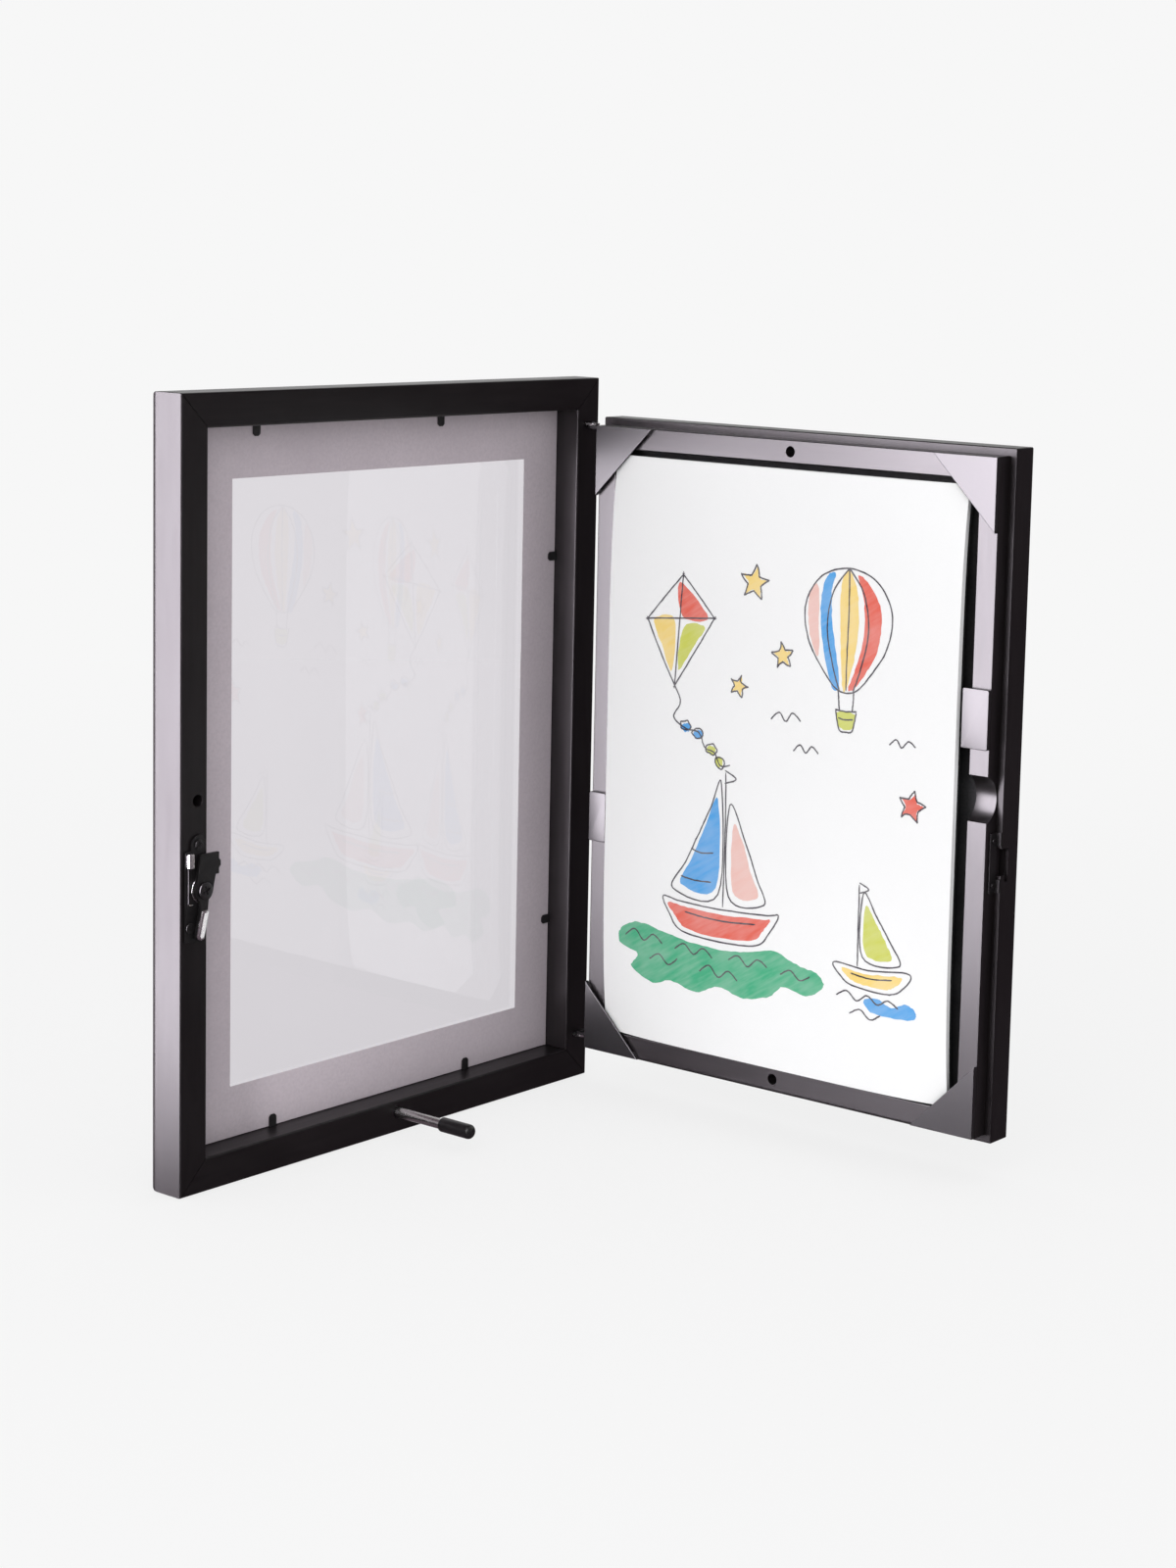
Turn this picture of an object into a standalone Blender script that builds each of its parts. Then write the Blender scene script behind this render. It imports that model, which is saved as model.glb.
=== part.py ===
# Openable picture frame that stores a stack of drawings behind the shown one.
# Metres, +Z up. The display side faces -Y, the rear faces +Y, and the frame
# stands on its bottom rail with the origin under the middle of that rail.
# The storage panel is hinged on the -X side and is modelled swung open.

import math

import bmesh
import bpy
from mathutils import Matrix, Vector

# Front frame
frame_width = 0.2835
frame_height = 0.368
frame_depth = 0.022
rail_width = 0.016
lip_width = 0.021
front_edge_radius = 0.0055
edge_ease = 0.0006
recess_depth = 0.0142
seam_gap = 0.0002
thin_gap = 0.0002
fit_gap = 0.0003
overrun = 0.001

# Glazing and mat
glass_thickness = 0.0018
mat_thickness = 0.0015
glazing_clearance = 0.0004
mat_overlap = 0.0055
mat_window_shift = -0.0012
mat_bevel = 0.0015

# Retaining tabs
tab_width = 0.0045
tab_thickness = 0.0006
tab_reach = 0.006
tab_root = 0.005
tab_slot_gap = 0.0002
top_tab_shares = (0.592, -0.273)
bottom_tab_shares = (0.503, -0.442)
hinge_tab_shares = (0.75, 0.23)
latch_tab_shares = (0.72, 0.26)

# Mitre biscuits
biscuit_radius = 0.006
biscuit_thickness = 0.002

# Support peg and its two holes
peg_from_edge = 0.010
peg_radius = 0.0026
peg_hole_radius = 0.0028
peg_hole_depth = 0.014
peg_bare_length = 0.030
peg_end_gap = 0.001
tip_radius = 0.0036
tip_length = 0.020
tip_bore_depth = 0.011
tip_round = 0.0012

# Storage panel
panel_clearance = 0.0027
panel_proud = 0.0128
back_thickness = 0.0143
tray_inset = 0.0037
tray_depth = 0.0084
tray_rail_width = 0.0112
tray_ease = 0.0005
wall_hole_radius = 0.0027
opening_angle = math.radians(90.9)

# Knife hinges
pivot_from_side = 0.0077
pivot_behind = 0.0035
hinge_from_panel_end = 0.0053
blade_thickness = 0.0012
blade_half_width = 0.0030
blade_reach = 0.008
blade_spacing = 0.0002
pin_radius = 0.0012
pin_clearance = 0.0001
pin_head_radius = 0.0021
pin_head_height = 0.0006

# Latch
latch_from_side = 0.0111
latch_height = 0.1432
latch_plate_width = 0.0125
latch_plate_from_side = 0.0018
latch_plate_below = 0.0236
latch_plate_above = 0.0183
latch_plate_thickness = 0.0008
latch_plate_ear_radius = 0.0044
latch_lever_thickness = 0.0016
latch_thumb_thickness = 0.0030
latch_spring_thickness = 0.0006
latch_spring_wire = 0.0006
latch_spring_from_side = 0.0034
latch_spring_below = 0.0064
latch_spring_hook = 0.0026
latch_washer_radius = 0.0060
latch_screw_radius = 0.0015
latch_screw_head_radius = 0.0038
latch_screw_head_height = 0.0012
latch_bore_clearance = 0.0003
latch_screw_depth = 0.009
latch_anchor_width = 0.0032
latch_anchor_height = 0.0068
latch_anchor_above = 0.0106
latch_anchor_thickness = 0.0020
fixing_screw_radius = 0.0011
fixing_screw_head_radius = 0.0024
fixing_screw_head_height = 0.0006
fixing_screw_depth = 0.008
fixing_screw_upper_side = 0.0099
fixing_screw_above = 0.0209
fixing_screw_lower_side = 0.0045
fixing_screw_below = 0.0170
slot_width = 0.0006
slot_depth = 0.0004

# Latch lever, from its pivot: the nose points inwards at the top, the thumb
# end hangs at the bottom
lever_top = 0.0166
lever_back = 0.0021
lever_waist_back = 0.0040
lever_waist_height = 0.0052
nose_reach = 0.0099
nose_step = 0.0010
nose_tip_high = 0.0125
nose_tip_low = 0.0102
nose_low = 0.0064
neck_reach = 0.0069
hub_radius = 0.0054
thumb_neck = 0.0086
thumb_end = 0.0206
thumb_half = 0.0022
thumb_lean = 0.0028
thumb_pad_top = 0.0092

# Keeper in the storage panel for the latch's nose
keeper_gap = 0.0005
keeper_notch_reach = 0.0033
keeper_slot_reach = 0.0066
keeper_notch_low = 0.0052
keeper_notch_high = 0.0182
keeper_slot_low = 0.0020
strike_below = 0.0027
strike_above = 0.0259
strike_leg_height = 0.0058
strike_thickness = 0.0006
strike_foot_reach = 0.0024
strike_foot_height = 0.0062
strike_screw_radius = 0.0009
strike_screw_head_radius = 0.0014
strike_screw_head_height = 0.0006
strike_screw_length = 0.0050
strike_screw_inset = 0.0036
strike_screw_rise = 0.0032

# Finger notch
finger_notch_radius = 0.0119
finger_notch_floor = 0.0008
finger_notch_above_latch = 0.0420

# Corner pockets and side tabs
pocket_leg = 0.0355
pocket_height = 0.0028
pocket_plate = 0.0010
pocket_wall = 0.0030
pocket_inset = 0.0001
side_tab_thickness = 0.0022
side_tab_corner = 0.003
latch_side_tab_above_notch = 0.0378
latch_side_tab_height = 0.0284
latch_side_tab_reach = 0.0146
hinge_side_tab_below_middle = 0.0390
hinge_side_tab_height = 0.0254
hinge_side_tab_reach = 0.0108

# Paper, cards and springs
sheet_side_slack = 0.0063
sheet_top_slack = 0.0038
sheet_thickness = 0.00025
stack_thickness = 0.0026
card_thickness = 0.0012
liner_thickness = 0.0005
paper_corner_height = 0.0076
paper_bulge = 0.0046
paper_bulge_power = 5
paper_columns = 12
paper_rows = 16
paper_side_shift = -0.0022
paper_rise = 0.0003
layer_gap = 0.00015
spring_strip_width = 0.012
spring_strip_thickness = 0.0006
spring_reach_share = 0.667
spring_height_share = 0.471
spring_steps = 12

round_steps = 24
small_round_steps = 16
arc_steps = 6

# Places that follow from the sizes above
half_width = frame_width / 2
tray_border = rail_width + panel_clearance + tray_inset + tray_rail_width
sheet_width = frame_width - 2 * tray_border - sheet_side_slack
sheet_height = frame_height - 2 * tray_border - sheet_top_slack
mat_window_width = sheet_width - 2 * mat_overlap
mat_window_height = sheet_height - 2 * mat_overlap
rear_y = frame_depth / 2
front_y = -frame_depth / 2
lip_thickness = frame_depth - recess_depth - glass_thickness - mat_thickness - 2 * thin_gap
glass_front_y = front_y + lip_thickness + thin_gap
mat_front_y = glass_front_y + glass_thickness + thin_gap
mat_back_y = mat_front_y + mat_thickness
glazing_width = frame_width - 2 * rail_width - 2 * glazing_clearance
glazing_height = frame_height - 2 * rail_width - 2 * glazing_clearance
middle_z = frame_height / 2

# Storage panel in its own closed pose, measured from the hinge pivot
panel_x0 = rail_width + panel_clearance - pivot_from_side
panel_width = frame_width - 2 * (rail_width + panel_clearance)
panel_x1 = panel_x0 + panel_width
panel_low = rail_width + panel_clearance
panel_high = frame_height - rail_width - panel_clearance
hinge_from_end = panel_low + hinge_from_panel_end
notch_z = latch_height + finger_notch_above_latch
panel_rear_y = panel_proud - pivot_behind
panel_front_y = panel_rear_y - back_thickness
panel_middle_x = (panel_x0 + panel_x1) / 2
tray_front_y = panel_front_y - tray_depth
paper_middle_x = panel_middle_x + paper_side_shift
paper_middle_z = tray_border + paper_rise + sheet_height / 2


for old_object in list(bpy.data.objects):
    bpy.data.objects.remove(old_object)


def finish(name, colour, roughness, metallic, transmission=0.0):
    """A plain surface: colour, roughness and metal."""
    material = bpy.data.materials.new(name)
    material.use_nodes = True
    shader = material.node_tree.nodes["Principled BSDF"]
    shader.inputs["Base Color"].default_value = (*colour, 1)
    shader.inputs["Roughness"].default_value = roughness
    shader.inputs["Metallic"].default_value = metallic
    shader.inputs["Transmission Weight"].default_value = transmission
    return material


def add_piece(name, mesh_data, material, parent=None, place=(0, 0, 0)):
    """Turn a bmesh into a named object with its faces pointing outwards."""
    bmesh.ops.recalc_face_normals(mesh_data, faces=mesh_data.faces)
    mesh = bpy.data.meshes.new(name)
    mesh_data.to_mesh(mesh)
    mesh_data.free()
    piece = bpy.data.objects.new(name, mesh)
    bpy.context.scene.collection.objects.link(piece)
    piece.location = place
    if parent:
        piece.parent = parent
    if material:
        mesh.materials.append(material)
        mesh.shade_smooth()
        mesh.set_sharp_from_angle(angle=math.radians(35))
    return piece


def cut(piece, mesh_data, place=(0, 0, 0)):
    """Cut the bodies of a bmesh out of a piece."""
    cutter = add_piece(piece.name + "_cutter", mesh_data, None, piece.parent, place)
    cutter.hide_render = True
    cutter.display_type = "WIRE"
    boolean = piece.modifiers.new("cut", "BOOLEAN")
    boolean.operation = "DIFFERENCE"
    boolean.object = cutter


def add_box(mesh_data, low, high):
    """Add a box between two corners and give its vertices."""
    size = [b - a for a, b in zip(low, high)]
    centre = [(a + b) / 2 for a, b in zip(low, high)]
    matrix = Matrix.Translation(centre) @ Matrix.Diagonal((*size, 1))
    return bmesh.ops.create_cube(mesh_data, size=1, matrix=matrix)["verts"]


def add_rod(mesh_data, start, end, radius, steps=small_round_steps):
    """Add a capped cylinder between two points."""
    axis = Vector(end) - Vector(start)
    centre = (Vector(end) + Vector(start)) / 2
    turn = axis.to_track_quat("Z", "Y").to_matrix().to_4x4()
    bmesh.ops.create_cone(
        mesh_data, cap_ends=True, segments=steps, radius1=radius, radius2=radius,
        depth=axis.length, matrix=Matrix.Translation(centre) @ turn,
    )


def add_prism(mesh_data, outline, plane, low, high):
    """Extrude an outline drawn in the plane "xy", "xz" or "yz" from low to high."""
    def corner(u, v, w):
        return {"xy": (u, v, w), "xz": (u, w, v), "yz": (w, u, v)}[plane]

    lower = [mesh_data.verts.new(corner(u, v, low)) for u, v in outline]
    upper = [mesh_data.verts.new(corner(u, v, high)) for u, v in outline]
    mesh_data.faces.new(lower)
    mesh_data.faces.new(upper)
    for index in range(len(outline)):
        after = (index + 1) % len(outline)
        mesh_data.faces.new((lower[index], lower[after], upper[after], upper[index]))


def arc(centre, radius, start, end, steps):
    """Points along an arc, with both of its ends; angles in degrees."""
    points = []
    for step in range(steps + 1):
        angle = math.radians(start + (end - start) * step / steps)
        points.append((centre[0] + radius * math.cos(angle), centre[1] + radius * math.sin(angle)))
    return points


def rounded_rectangle(low, high, radius, steps):
    """Outline of a rectangle with round corners, counter-clockwise."""
    outline = arc((high[0] - radius, high[1] - radius), radius, 0, 90, steps)
    outline += arc((low[0] + radius, high[1] - radius), radius, 90, 180, steps)
    outline += arc((low[0] + radius, low[1] + radius), radius, 180, 270, steps)
    outline += arc((high[0] - radius, low[1] + radius), radius, 270, 360, steps)
    return outline


def add_turned(mesh_data, profile, steps, placed=Matrix()):
    """Turn a profile of (radius, along) points round the Y axis, then place it."""
    rings = []
    for step in range(steps):
        angle = 2 * math.pi * step / steps
        ring = []
        for radius, along in profile:
            point = Vector((radius * math.cos(angle), along, radius * math.sin(angle)))
            ring.append(mesh_data.verts.new(placed @ point))
        rings.append(ring)
    for step in range(steps):
        here = rings[step]
        there = rings[(step + 1) % steps]
        for index in range(len(profile) - 1):
            mesh_data.faces.new((here[index], here[index + 1], there[index + 1], there[index]))
    mesh_data.faces.new([ring[0] for ring in rings])
    mesh_data.faces.new([ring[-1] for ring in rings])


def add_mitred_rail(mesh_data, profile, place):
    """Bridge a profile between two mitred ends; place maps (inward, depth, end) to a point."""
    ends = [[mesh_data.verts.new(place(t, y, end)) for t, y in profile] for end in (-1, 1)]
    for loop in ends:
        mesh_data.faces.new(loop)
    for index in range(len(profile)):
        after = (index + 1) % len(profile)
        mesh_data.faces.new((ends[0][index], ends[0][after], ends[1][after], ends[1][index]))


def rail_place(side, low, high, middle_x, half_span):
    """Where a point of a mitred rail lies, for a ring from low to high and +-half_span wide."""
    half_rise = (high - low) / 2
    centre_z = (high + low) / 2
    if side == "bottom":
        return lambda t, y, end: (middle_x + end * (half_span - t - seam_gap), y, low + t)
    if side == "top":
        return lambda t, y, end: (middle_x + end * (half_span - t - seam_gap), y, high - t)
    if side == "latch":
        return lambda t, y, end: (middle_x + half_span - t, y, centre_z + end * (half_rise - t - seam_gap))
    return lambda t, y, end: (middle_x - half_span + t, y, centre_z + end * (half_rise - t - seam_gap))


satin_black = finish("satin_black_paint", (0.012, 0.011, 0.012), 0.35, 0.0)
black_metal = finish("black_metal", (0.02, 0.02, 0.022), 0.4, 0.6)
bright_metal = finish("bright_metal", (0.62, 0.62, 0.63), 0.28, 1.0)
black_rubber = finish("black_rubber", (0.015, 0.015, 0.015), 0.75, 0.0)
black_plastic = finish("black_plastic", (0.02, 0.02, 0.021), 0.35, 0.0)
mat_card = finish("mat_card", (0.42, 0.40, 0.42), 0.85, 0.0)
black_card = finish("black_card", (0.015, 0.015, 0.016), 0.8, 0.0)
white_paper = finish("white_paper", (0.85, 0.85, 0.86), 0.8, 0.0)
clear_glass = finish("clear_glass", (0.95, 0.97, 0.97), 0.03, 0.0, 1.0)
biscuit_wood = finish("biscuit_wood", (0.55, 0.40, 0.24), 0.8, 0.0)


# Front frame rails. The profile runs from the outer face inwards: eased rear
# edges, a round front edge and a lip that holds the glass.

def moulding_profile():
    """Outline of the moulding as (inward from the outer face, depth)."""
    round_centre = (front_edge_radius, front_y + front_edge_radius)
    profile = [(edge_ease, rear_y), (0, rear_y - edge_ease)]
    profile += arc(round_centre, front_edge_radius, 180, 270, arc_steps)
    profile += [
        (lip_width - edge_ease, front_y),
        (lip_width, front_y + edge_ease),
        (lip_width, front_y + lip_thickness),
        (rail_width, front_y + lip_thickness),
        (rail_width, rear_y - edge_ease),
        (rail_width - edge_ease, rear_y),
    ]
    return profile


def tab_places(side):
    """Centre of each retaining tab along its rail."""
    if side == "top":
        return [share * half_width for share in top_tab_shares]
    if side == "bottom":
        return [share * half_width for share in bottom_tab_shares]
    if side == "hinge":
        return [share * frame_height for share in hinge_tab_shares]
    return [share * frame_height for share in latch_tab_shares]


def tab_outline(reach, root, width):
    """A retaining tab seen flat, pointing inwards, with a narrowed tip."""
    half = width / 2
    return [
        (-root, -half), (reach - half / 2, -half), (reach, -half / 2),
        (reach, half / 2), (reach - half / 2, half), (-root, half),
    ]


def turned_to_side(points, side, along):
    """Move tab points (inward, sideways) to their place in the XZ plane."""
    inner_x = half_width - rail_width
    inner_low = rail_width
    inner_high = frame_height - rail_width
    if side == "top":
        return [(along + v, inner_high - u) for u, v in points]
    if side == "bottom":
        return [(along + v, inner_low + u) for u, v in points]
    if side == "hinge":
        return [(-inner_x + u, along + v) for u, v in points]
    return [(inner_x - u, along + v) for u, v in points]


tab_low_y = mat_back_y + tab_slot_gap
tab_high_y = tab_low_y + tab_thickness
biscuit_y = (rear_y + front_y) / 2
biscuit_inset = rail_width / 2
biscuit_places = [
    (sx * (half_width - biscuit_inset), z)
    for sx in (-1, 1) for z in (biscuit_inset, frame_height - biscuit_inset)
]
peg_socket_floor = rear_y - peg_hole_depth
latch_x = half_width - latch_from_side
fixing_screw_places = [
    (half_width - fixing_screw_upper_side, latch_height + fixing_screw_above),
    (half_width - fixing_screw_lower_side, latch_height - fixing_screw_below),
]
hinge_x = -half_width + pivot_from_side
hinge_y = rear_y + pivot_behind

# Middle height of the stile's blade and of the panel's blade at each hinge
blade_step = (blade_thickness + blade_spacing) / 2
hinge_levels = {
    "top": (frame_height - hinge_from_end + blade_step, frame_height - hinge_from_end - blade_step),
    "bottom": (hinge_from_end - blade_step, hinge_from_end + blade_step),
}


def blade_outline(radius, tail):
    """A hinge blade: round at the pivot and square at its tail, running along +X."""
    return arc((0, 0), radius, 90, 270, arc_steps) + [(tail, -radius), (tail, radius)]


def add_rail_cuts(mesh_data, side):
    """Biscuit pockets and tab slots of one rail."""
    pocket_half = biscuit_thickness / 2 + fit_gap
    for x, z in biscuit_places:
        on_side = {"top": z > middle_z, "bottom": z < middle_z, "latch": x > 0, "hinge": x < 0}[side]
        if on_side:
            add_rod(
                mesh_data, (x, biscuit_y - pocket_half, z), (x, biscuit_y + pocket_half, z),
                biscuit_radius + fit_gap, round_steps,
            )
    for along in tab_places(side):
        half = tab_width / 2 + tab_slot_gap
        root = tab_root + fit_gap
        slot = [(-root, -half), (overrun, -half), (overrun, half), (-root, half)]
        slot = turned_to_side(slot, side, along)
        add_prism(mesh_data, slot, "xz", tab_low_y - tab_slot_gap, tab_high_y + tab_slot_gap)


for side, name in (
    ("top", "top_rail"), ("bottom", "bottom_rail"),
    ("latch", "latch_stile"), ("hinge", "hinge_stile"),
):
    rail_mesh = bmesh.new()
    add_mitred_rail(rail_mesh, moulding_profile(), rail_place(side, 0, frame_height, 0, half_width))
    rail = add_piece(name, rail_mesh, satin_black)
    cuts = bmesh.new()
    add_rail_cuts(cuts, side)
    if side == "bottom":
        add_rod(
            cuts, (0, peg_socket_floor, peg_from_edge), (0, rear_y + overrun, peg_from_edge),
            peg_hole_radius, round_steps,
        )
    if side == "latch":
        socket_x = half_width - peg_from_edge
        add_rod(
            cuts, (socket_x, peg_socket_floor, middle_z), (socket_x, rear_y + overrun, middle_z),
            peg_hole_radius, round_steps,
        )
        add_rod(
            cuts, (latch_x, rear_y - latch_screw_depth - fit_gap, latch_height),
            (latch_x, rear_y + overrun, latch_height), latch_screw_radius + latch_bore_clearance,
        )
        for x, z in fixing_screw_places:
            add_rod(
                cuts, (x, rear_y - fixing_screw_depth - fit_gap, z), (x, rear_y + overrun, z),
                fixing_screw_radius + fit_gap,
            )
    if side == "hinge":
        for stile_level, arm_level in hinge_levels.values():
            kerf_half = blade_thickness / 2 + fit_gap
            kerf_x = blade_half_width + fit_gap
            kerf_floor = rear_y - blade_reach - fit_gap
            add_box(
                cuts,
                (hinge_x - kerf_x, kerf_floor, stile_level - kerf_half),
                (hinge_x + kerf_x, rear_y + overrun, stile_level + kerf_half),
            )
    cut(rail, cuts)

# Biscuits glued across the mitres
for number, (x, z) in enumerate(biscuit_places, 1):
    biscuit = bmesh.new()
    half = biscuit_thickness / 2
    add_rod(biscuit, (x, biscuit_y - half, z), (x, biscuit_y + half, z), biscuit_radius, round_steps)
    add_piece(f"corner_biscuit_{number}", biscuit, biscuit_wood)

# Glass pane in the rabbet
glass = bmesh.new()
add_box(
    glass,
    (-glazing_width / 2, glass_front_y, middle_z - glazing_height / 2),
    (glazing_width / 2, glass_front_y + glass_thickness, middle_z + glazing_height / 2),
)
add_piece("glass_pane", glass, clear_glass)


# Mat board with a bevelled window
def rectangle_loop(mesh_data, centre_x, half_x, half_z, y):
    """Four corners of an upright rectangle."""
    return [
        mesh_data.verts.new((centre_x + sx * half_x, y, middle_z + sz * half_z))
        for sx, sz in ((-1, -1), (1, -1), (1, 1), (-1, 1))
    ]


def add_mat(mesh_data):
    """Board with a window that is wider on its display side."""
    window_half_x = mat_window_width / 2
    window_half_z = mat_window_height / 2
    loops = [
        rectangle_loop(mesh_data, 0, glazing_width / 2, glazing_height / 2, mat_front_y),
        rectangle_loop(mesh_data, 0, glazing_width / 2, glazing_height / 2, mat_back_y),
        rectangle_loop(mesh_data, mat_window_shift, window_half_x, window_half_z, mat_back_y),
        rectangle_loop(
            mesh_data, mat_window_shift, window_half_x + mat_bevel, window_half_z + mat_bevel, mat_front_y,
        ),
    ]
    for index in range(4):
        here = loops[index]
        there = loops[(index + 1) % 4]
        for corner in range(4):
            after = (corner + 1) % 4
            mesh_data.faces.new((here[corner], here[after], there[after], there[corner]))


mat = bmesh.new()
add_mat(mat)
add_piece("mat_board", mat, mat_card)

# Retaining tabs, driven into the rabbet wall over the mat
for side in ("top", "bottom", "hinge", "latch"):
    for number, along in enumerate(tab_places(side), 1):
        tab = bmesh.new()
        outline = turned_to_side(tab_outline(tab_reach, tab_root, tab_width), side, along)
        add_prism(tab, outline, "xz", tab_low_y, tab_high_y)
        add_piece(f"retaining_tab_{side}_{number}", tab, black_metal)

# Support peg. Its origin is at the mouth of the hole in the bottom rail, on
# the line along which it is pulled out.
peg_mouth = (0, rear_y, peg_from_edge)
peg_line = bpy.data.objects.new("peg_line", None)
peg_line.location = peg_mouth
bpy.context.scene.collection.objects.link(peg_line)
tip_bore_end = peg_bare_length + tip_bore_depth

rod = bmesh.new()
add_rod(
    rod, (0, peg_end_gap - peg_hole_depth, 0), (0, tip_bore_end - fit_gap, 0), peg_radius, round_steps,
)
add_piece("peg_rod", rod, bright_metal, peg_line)

tip_end = peg_bare_length + tip_length
bore_radius = peg_radius + thin_gap
tip_profile = [(bore_radius, tip_bore_end), (bore_radius, peg_bare_length), (tip_radius, peg_bare_length)]
tip_profile += arc((tip_radius - tip_round, tip_end - tip_round), tip_round, 0, 90, 4)
tip = bmesh.new()
add_turned(tip, tip_profile, round_steps)
add_piece("peg_tip", tip, black_rubber, peg_line)

# Latch on the rear face of the latch-side stile. Heights are stacked from the
# stile outwards: plate, washer and spring, lever, screw head.
plate_y0 = rear_y + thin_gap
plate_y1 = plate_y0 + latch_plate_thickness
spring_y0 = plate_y1 + thin_gap
spring_y1 = spring_y0 + latch_spring_thickness
lever_y0 = spring_y1 + thin_gap
lever_y1 = lever_y0 + latch_lever_thickness
head_y0 = lever_y1 + thin_gap
head_y1 = head_y0 + latch_screw_head_height
latch_bore = latch_screw_radius + latch_bore_clearance
latch_plate_x1 = half_width - latch_plate_from_side
latch_plate_x0 = latch_plate_x1 - latch_plate_width
latch_plate_low = latch_height - latch_plate_below
latch_plate_shoulder = latch_height + latch_plate_above

# Base plate with a round ear at its top for the upper screw
ear_x, ear_z = fixing_screw_places[0]
plate_outline = [
    (latch_plate_x0, latch_plate_low), (latch_plate_x1, latch_plate_low),
    (latch_plate_x1, latch_plate_shoulder), (ear_x + latch_plate_ear_radius, latch_plate_shoulder),
]
plate_outline += arc((ear_x, ear_z), latch_plate_ear_radius, 0, 180, round_steps // 2)
plate_outline += [(ear_x - latch_plate_ear_radius, latch_plate_shoulder)]
plate_outline += [(latch_plate_x0, latch_plate_shoulder)]
plate = bmesh.new()
add_prism(plate, plate_outline, "xz", plate_y0, plate_y1)
latch_plate = add_piece("latch_base_plate", plate, black_metal)
plate_cuts = bmesh.new()
add_rod(
    plate_cuts, (latch_x, rear_y, latch_height), (latch_x, plate_y1 + overrun, latch_height), latch_bore,
)
for x, z in fixing_screw_places:
    add_rod(plate_cuts, (x, rear_y, z), (x, plate_y1 + overrun, z), fixing_screw_radius + fit_gap)
cut(latch_plate, plate_cuts)


def add_slotted_screw(name, place, shank, head, under_head, over_head, tip_y, material):
    """A screw that points into the stile, with a driver slot in its head."""
    x, z = place
    screw = bmesh.new()
    profile = [
        (shank, tip_y), (shank, under_head), (head, under_head),
        (head, over_head - edge_ease / 2), (head - edge_ease / 2, over_head),
    ]
    add_turned(screw, profile, small_round_steps, Matrix.Translation((x, 0, z)))
    slot = bmesh.new()
    add_box(
        slot,
        (x - head - overrun, over_head - slot_depth, z - slot_width / 2),
        (x + head + overrun, over_head + overrun, z + slot_width / 2),
    )
    cut(add_piece(name, screw, material), slot)


add_slotted_screw(
    "latch_pivot_screw", (latch_x, latch_height), latch_screw_radius, latch_screw_head_radius,
    head_y0, head_y1, rear_y - latch_screw_depth, black_metal,
)
for number, place in enumerate(fixing_screw_places, 1):
    under_head = plate_y1 + thin_gap
    add_slotted_screw(
        f"latch_fixing_screw_{number}", place, fixing_screw_radius, fixing_screw_head_radius,
        under_head, under_head + fixing_screw_head_height, rear_y - fixing_screw_depth, black_metal,
    )

washer = bmesh.new()
add_rod(
    washer, (latch_x, spring_y0, latch_height), (latch_x, spring_y1, latch_height),
    latch_washer_radius, round_steps,
)
washer_bore = bmesh.new()
add_rod(
    washer_bore, (latch_x, plate_y1, latch_height), (latch_x, lever_y0 + overrun, latch_height), latch_bore,
)
cut(add_piece("latch_washer", washer, bright_metal), washer_bore)


def ribbon(points, width):
    """Outline of a strip of even width along a line of points."""
    left = []
    right = []
    for index, point in enumerate(points):
        before = Vector(points[max(index - 1, 0)])
        after = Vector(points[min(index + 1, len(points) - 1)])
        direction = (after - before).normalized()
        normal = Vector((-direction.y, direction.x)) * width / 2
        left.append(tuple(Vector(point) + normal))
        right.append(tuple(Vector(point) - normal))
    return left + right[::-1]


# Spring clip: its block stands on the plate and holds a straight wire that
# runs down past the washer and hooks inwards under the lever
anchor_x1 = half_width - latch_spring_from_side + latch_anchor_width / 2 - latch_spring_wire
anchor_x0 = anchor_x1 - latch_anchor_width
latch_anchor_low = latch_height + latch_anchor_above
anchor = bmesh.new()
add_prism(
    anchor,
    rounded_rectangle(
        (anchor_x0, latch_anchor_low), (anchor_x1, latch_anchor_low + latch_anchor_height), edge_ease, 2
    ),
    "xz", spring_y0, spring_y0 + latch_anchor_thickness,
)
add_piece("latch_spring_block", anchor, bright_metal)
spring_x = half_width - latch_spring_from_side
latch_spring_low = latch_height - latch_spring_below
spring = bmesh.new()
spring_line = [
    (spring_x, latch_anchor_low - thin_gap), (spring_x, latch_spring_low + latch_spring_wire),
    (spring_x - latch_spring_wire, latch_spring_low), (spring_x - latch_spring_hook, latch_spring_low),
]
add_prism(spring, ribbon(spring_line, latch_spring_wire), "xz", spring_y0, spring_y1)
add_piece("latch_spring", spring, bright_metal)

# Lever, and the pad that thickens its thumb end
lever_outline = [
    (-lever_back, lever_top), (nose_reach - nose_step, lever_top),
    (nose_reach - nose_step, nose_tip_high + nose_step), (nose_reach, nose_tip_high),
    (nose_reach, nose_tip_low), (nose_reach - nose_step, nose_tip_low - nose_step),
    (nose_reach - nose_step, nose_low), (neck_reach, nose_low),
]
lever_outline += arc((0, 0), hub_radius, 0, -60, arc_steps)
lever_outline += [(thumb_half, -thumb_neck)]
lever_outline += arc((-thumb_lean, -thumb_end), thumb_half, 0, -180, arc_steps)
lever_outline += [(-thumb_half, -thumb_neck)]
lever_outline += arc((0, 0), hub_radius, -120, -190, arc_steps)
lever_outline += [(-lever_waist_back, lever_waist_height)]
lever_pivot = (latch_x, 0, latch_height)
lever = bmesh.new()
add_prism(lever, [(-inward, up) for inward, up in lever_outline], "xz", lever_y0, lever_y1)
latch_lever = add_piece("latch_lever", lever, black_metal, None, lever_pivot)
lever_bore = bmesh.new()
add_rod(lever_bore, (0, lever_y0 - overrun, 0), (0, lever_y1 + overrun, 0), latch_bore)
cut(latch_lever, lever_bore, lever_pivot)
thumb_outline = [(thumb_half, -thumb_pad_top)]
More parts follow.
